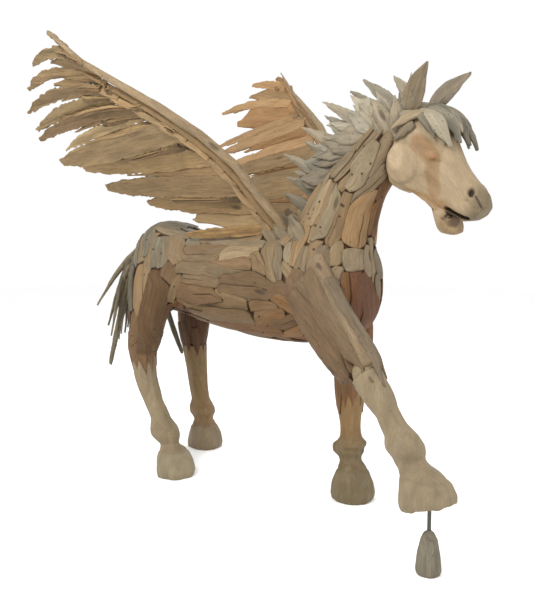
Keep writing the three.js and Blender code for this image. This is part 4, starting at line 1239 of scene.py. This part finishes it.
# Long boards from the chest over the right elbow: one end, the other end, width, colour, how proud it lies.
LONG_LAPS = [
    ((0.46, -0.24, 1.12), (0.86, -0.30, 0.715), 0.135, (132, 112, 86), 0.007),
    ((0.60, -0.22, 1.12), (0.91, -0.285, 0.705), 0.120, (134, 118, 96), 0.011),
    ((0.42, -0.25, 1.04), (0.785, -0.30, 0.66), 0.130, (130, 103, 74), 0.012),
]
upper_leg = Pile()
for i, (start, end, width, tone, proud) in enumerate(LONG_LAPS):
    draped(upper_leg, np.array(start) + SHIFT, np.array(end) + SHIFT, width, tone, proud, 300 + i * 1.7)
upper_leg.piece("upper_foreleg_right_laps", "brown_driftwood")
for name, down, tone, count, width in LAPS:
    verts, _ = node_mesh(name)
    top = verts[:, 2].max()
    ring = verts[verts[:, 2] > top - 0.09]
    centre = ring.mean(axis=0)
    below = verts[np.abs(verts[:, 2] - (top - 0.25)) < 0.08].mean(axis=0)
    axis = unit(below - centre)
    side_a = unit(np.cross(axis, (0, 1, 0)))
    side_b = np.cross(axis, side_a)
    laps = Pile()
    for i in range(count):
        angle = 2 * math.pi * (i + rng.uniform(-0.2, 0.2)) / count
        spoke = side_a * math.cos(angle) + side_b * math.sin(angle)
        reach = down * rng.uniform(0.45, 1.0)
        if name == "lower_foreleg_right" and spoke[1] < 0.1:
            continue
        start = centre - axis * rng.uniform(0.10, 0.16) + spoke * 0.09
        end = centre + axis * reach + spoke * 0.075
        wide = width * rng.uniform(0.8, 1.2)
        draped(laps, start, end, wide, tone, rng.uniform(0.007, 0.011), 20 + i * 1.3)
    laps.piece(name + "_laps", "brown_driftwood")


def carve_peg():
    verts, quads, normals = remeshed(["wooden_peg"], 0.004, 3)
    place = verts - SHIFT + 7
    groove = fractal(place, (70, 70, 9), 5)
    middle = verts[:, :2].mean(axis=0)
    tones = np.broadcast_to(linear((138, 131, 114)), verts.shape)
    tones = tones * (1 + 0.2 * fractal(place, (30, 30, 6), 1))[:, None]
    verts = verts + normals * (0.0028 * groove)[:, None]
    verts[:, 2] = np.maximum(verts[:, 2], 0)
    pile = Pile()
    # Painted shade in the peg's grooves.
    pile.add(verts, [quads], tones, place[:, [2, 0, 1]], np.clip(-groove, 0, 1) * 0.6)
    pile.piece("wooden_peg_wood", "grey_driftwood", ["wooden_peg"])


carve_peg()

steel = bpy.data.materials.new("brushed steel")
steel.use_nodes = True
shade = steel.node_tree.nodes["Principled BSDF"]
shade.inputs["Metallic"].default_value = 1.0
grime = steel.node_tree.nodes.new("ShaderNodeTexNoise")
grime.inputs["Scale"].default_value = 60
blend = steel.node_tree.nodes.new("ShaderNodeMapRange")
blend.inputs[3].default_value = 0.3
blend.inputs[4].default_value = 0.6
tint = steel.node_tree.nodes.new("ShaderNodeValToRGB")
tint.color_ramp.elements[0].color = (0.035, 0.033, 0.03, 1)
tint.color_ramp.elements[1].color = (0.13, 0.122, 0.11, 1)
steel.node_tree.links.new(grime.outputs[0], blend.inputs[0])
steel.node_tree.links.new(blend.outputs[0], shade.inputs["Roughness"])
steel.node_tree.links.new(grime.outputs[0], tint.inputs[0])
steel.node_tree.links.new(tint.outputs[0], shade.inputs["Base Color"])
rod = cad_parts["steel_rod"]
rod.data.materials.clear()
rod.data.materials.append(steel)


# ---------------------------------------------------------------- floor, light and camera

def panel(name, at, aim, size, power, colour=(1, 1, 1)):
    light = bpy.data.lights.new(name, "AREA")
    light.shape = "DISK"
    light.size = size
    light.energy = power
    light.color = colour
    obj = bpy.data.objects.new(name, light)
    bpy.context.scene.collection.objects.link(obj)
    obj.location = at
    obj.rotation_mode = "QUATERNION"
    obj.rotation_quaternion = (Vector(aim) - Vector(at)).to_track_quat("-Z", "Y")


FLOOR = 14
corners = [[-FLOOR, -FLOOR, 0], [FLOOR, -FLOOR, 0], [FLOOR, FLOOR, 0], [-FLOOR, FLOOR, 0]]
floor_mesh = mesh_from("floor", corners, [np.array([[0, 1, 2, 3]])])
floor = bpy.data.objects.new("floor", floor_mesh)
bpy.context.scene.collection.objects.link(floor)
paper = bpy.data.materials.new("pale floor")
paper.use_nodes = True
paper.node_tree.nodes["Principled BSDF"].inputs["Base Color"].default_value = (0.98, 0.98, 0.98, 1)
paper.node_tree.nodes["Principled BSDF"].inputs["Roughness"].default_value = 0.9
floor_mesh.materials.append(paper)

world = bpy.data.worlds.new("studio")
world.use_nodes = True
world.node_tree.nodes["Background"].inputs["Color"].default_value = (1, 1, 1, 1)
world.node_tree.nodes["Background"].inputs["Strength"].default_value = 1.0
bpy.context.scene.world = world
panel("key", (0.3, -3.6, 3.9), (0, 0, 1.0), 2.2, 190, (1.0, 0.98, 0.95))
panel("fill", (4.2, 0.6, 2.4), (0.3, 0, 1.0), 2.5, 60)
panel("back", (-2.6, 3.8, 3.4), (0, 0, 1.0), 2.5, 110)
bpy.context.scene.view_settings.view_transform = "Standard"

camera = bpy.data.cameras.new("camera")
camera.lens = 42
camera.sensor_width = 36
view = bpy.data.objects.new("camera", camera)
bpy.context.scene.collection.objects.link(view)
view.location = Vector((2.339, -2.646, 1.286)) + Vector(SHIFT)
view.rotation_mode = "QUATERNION"
view.rotation_quaternion = Vector((-0.6535, 0.7518, -0.0882)).to_track_quat("-Z", "Y")
bpy.context.scene.camera = view
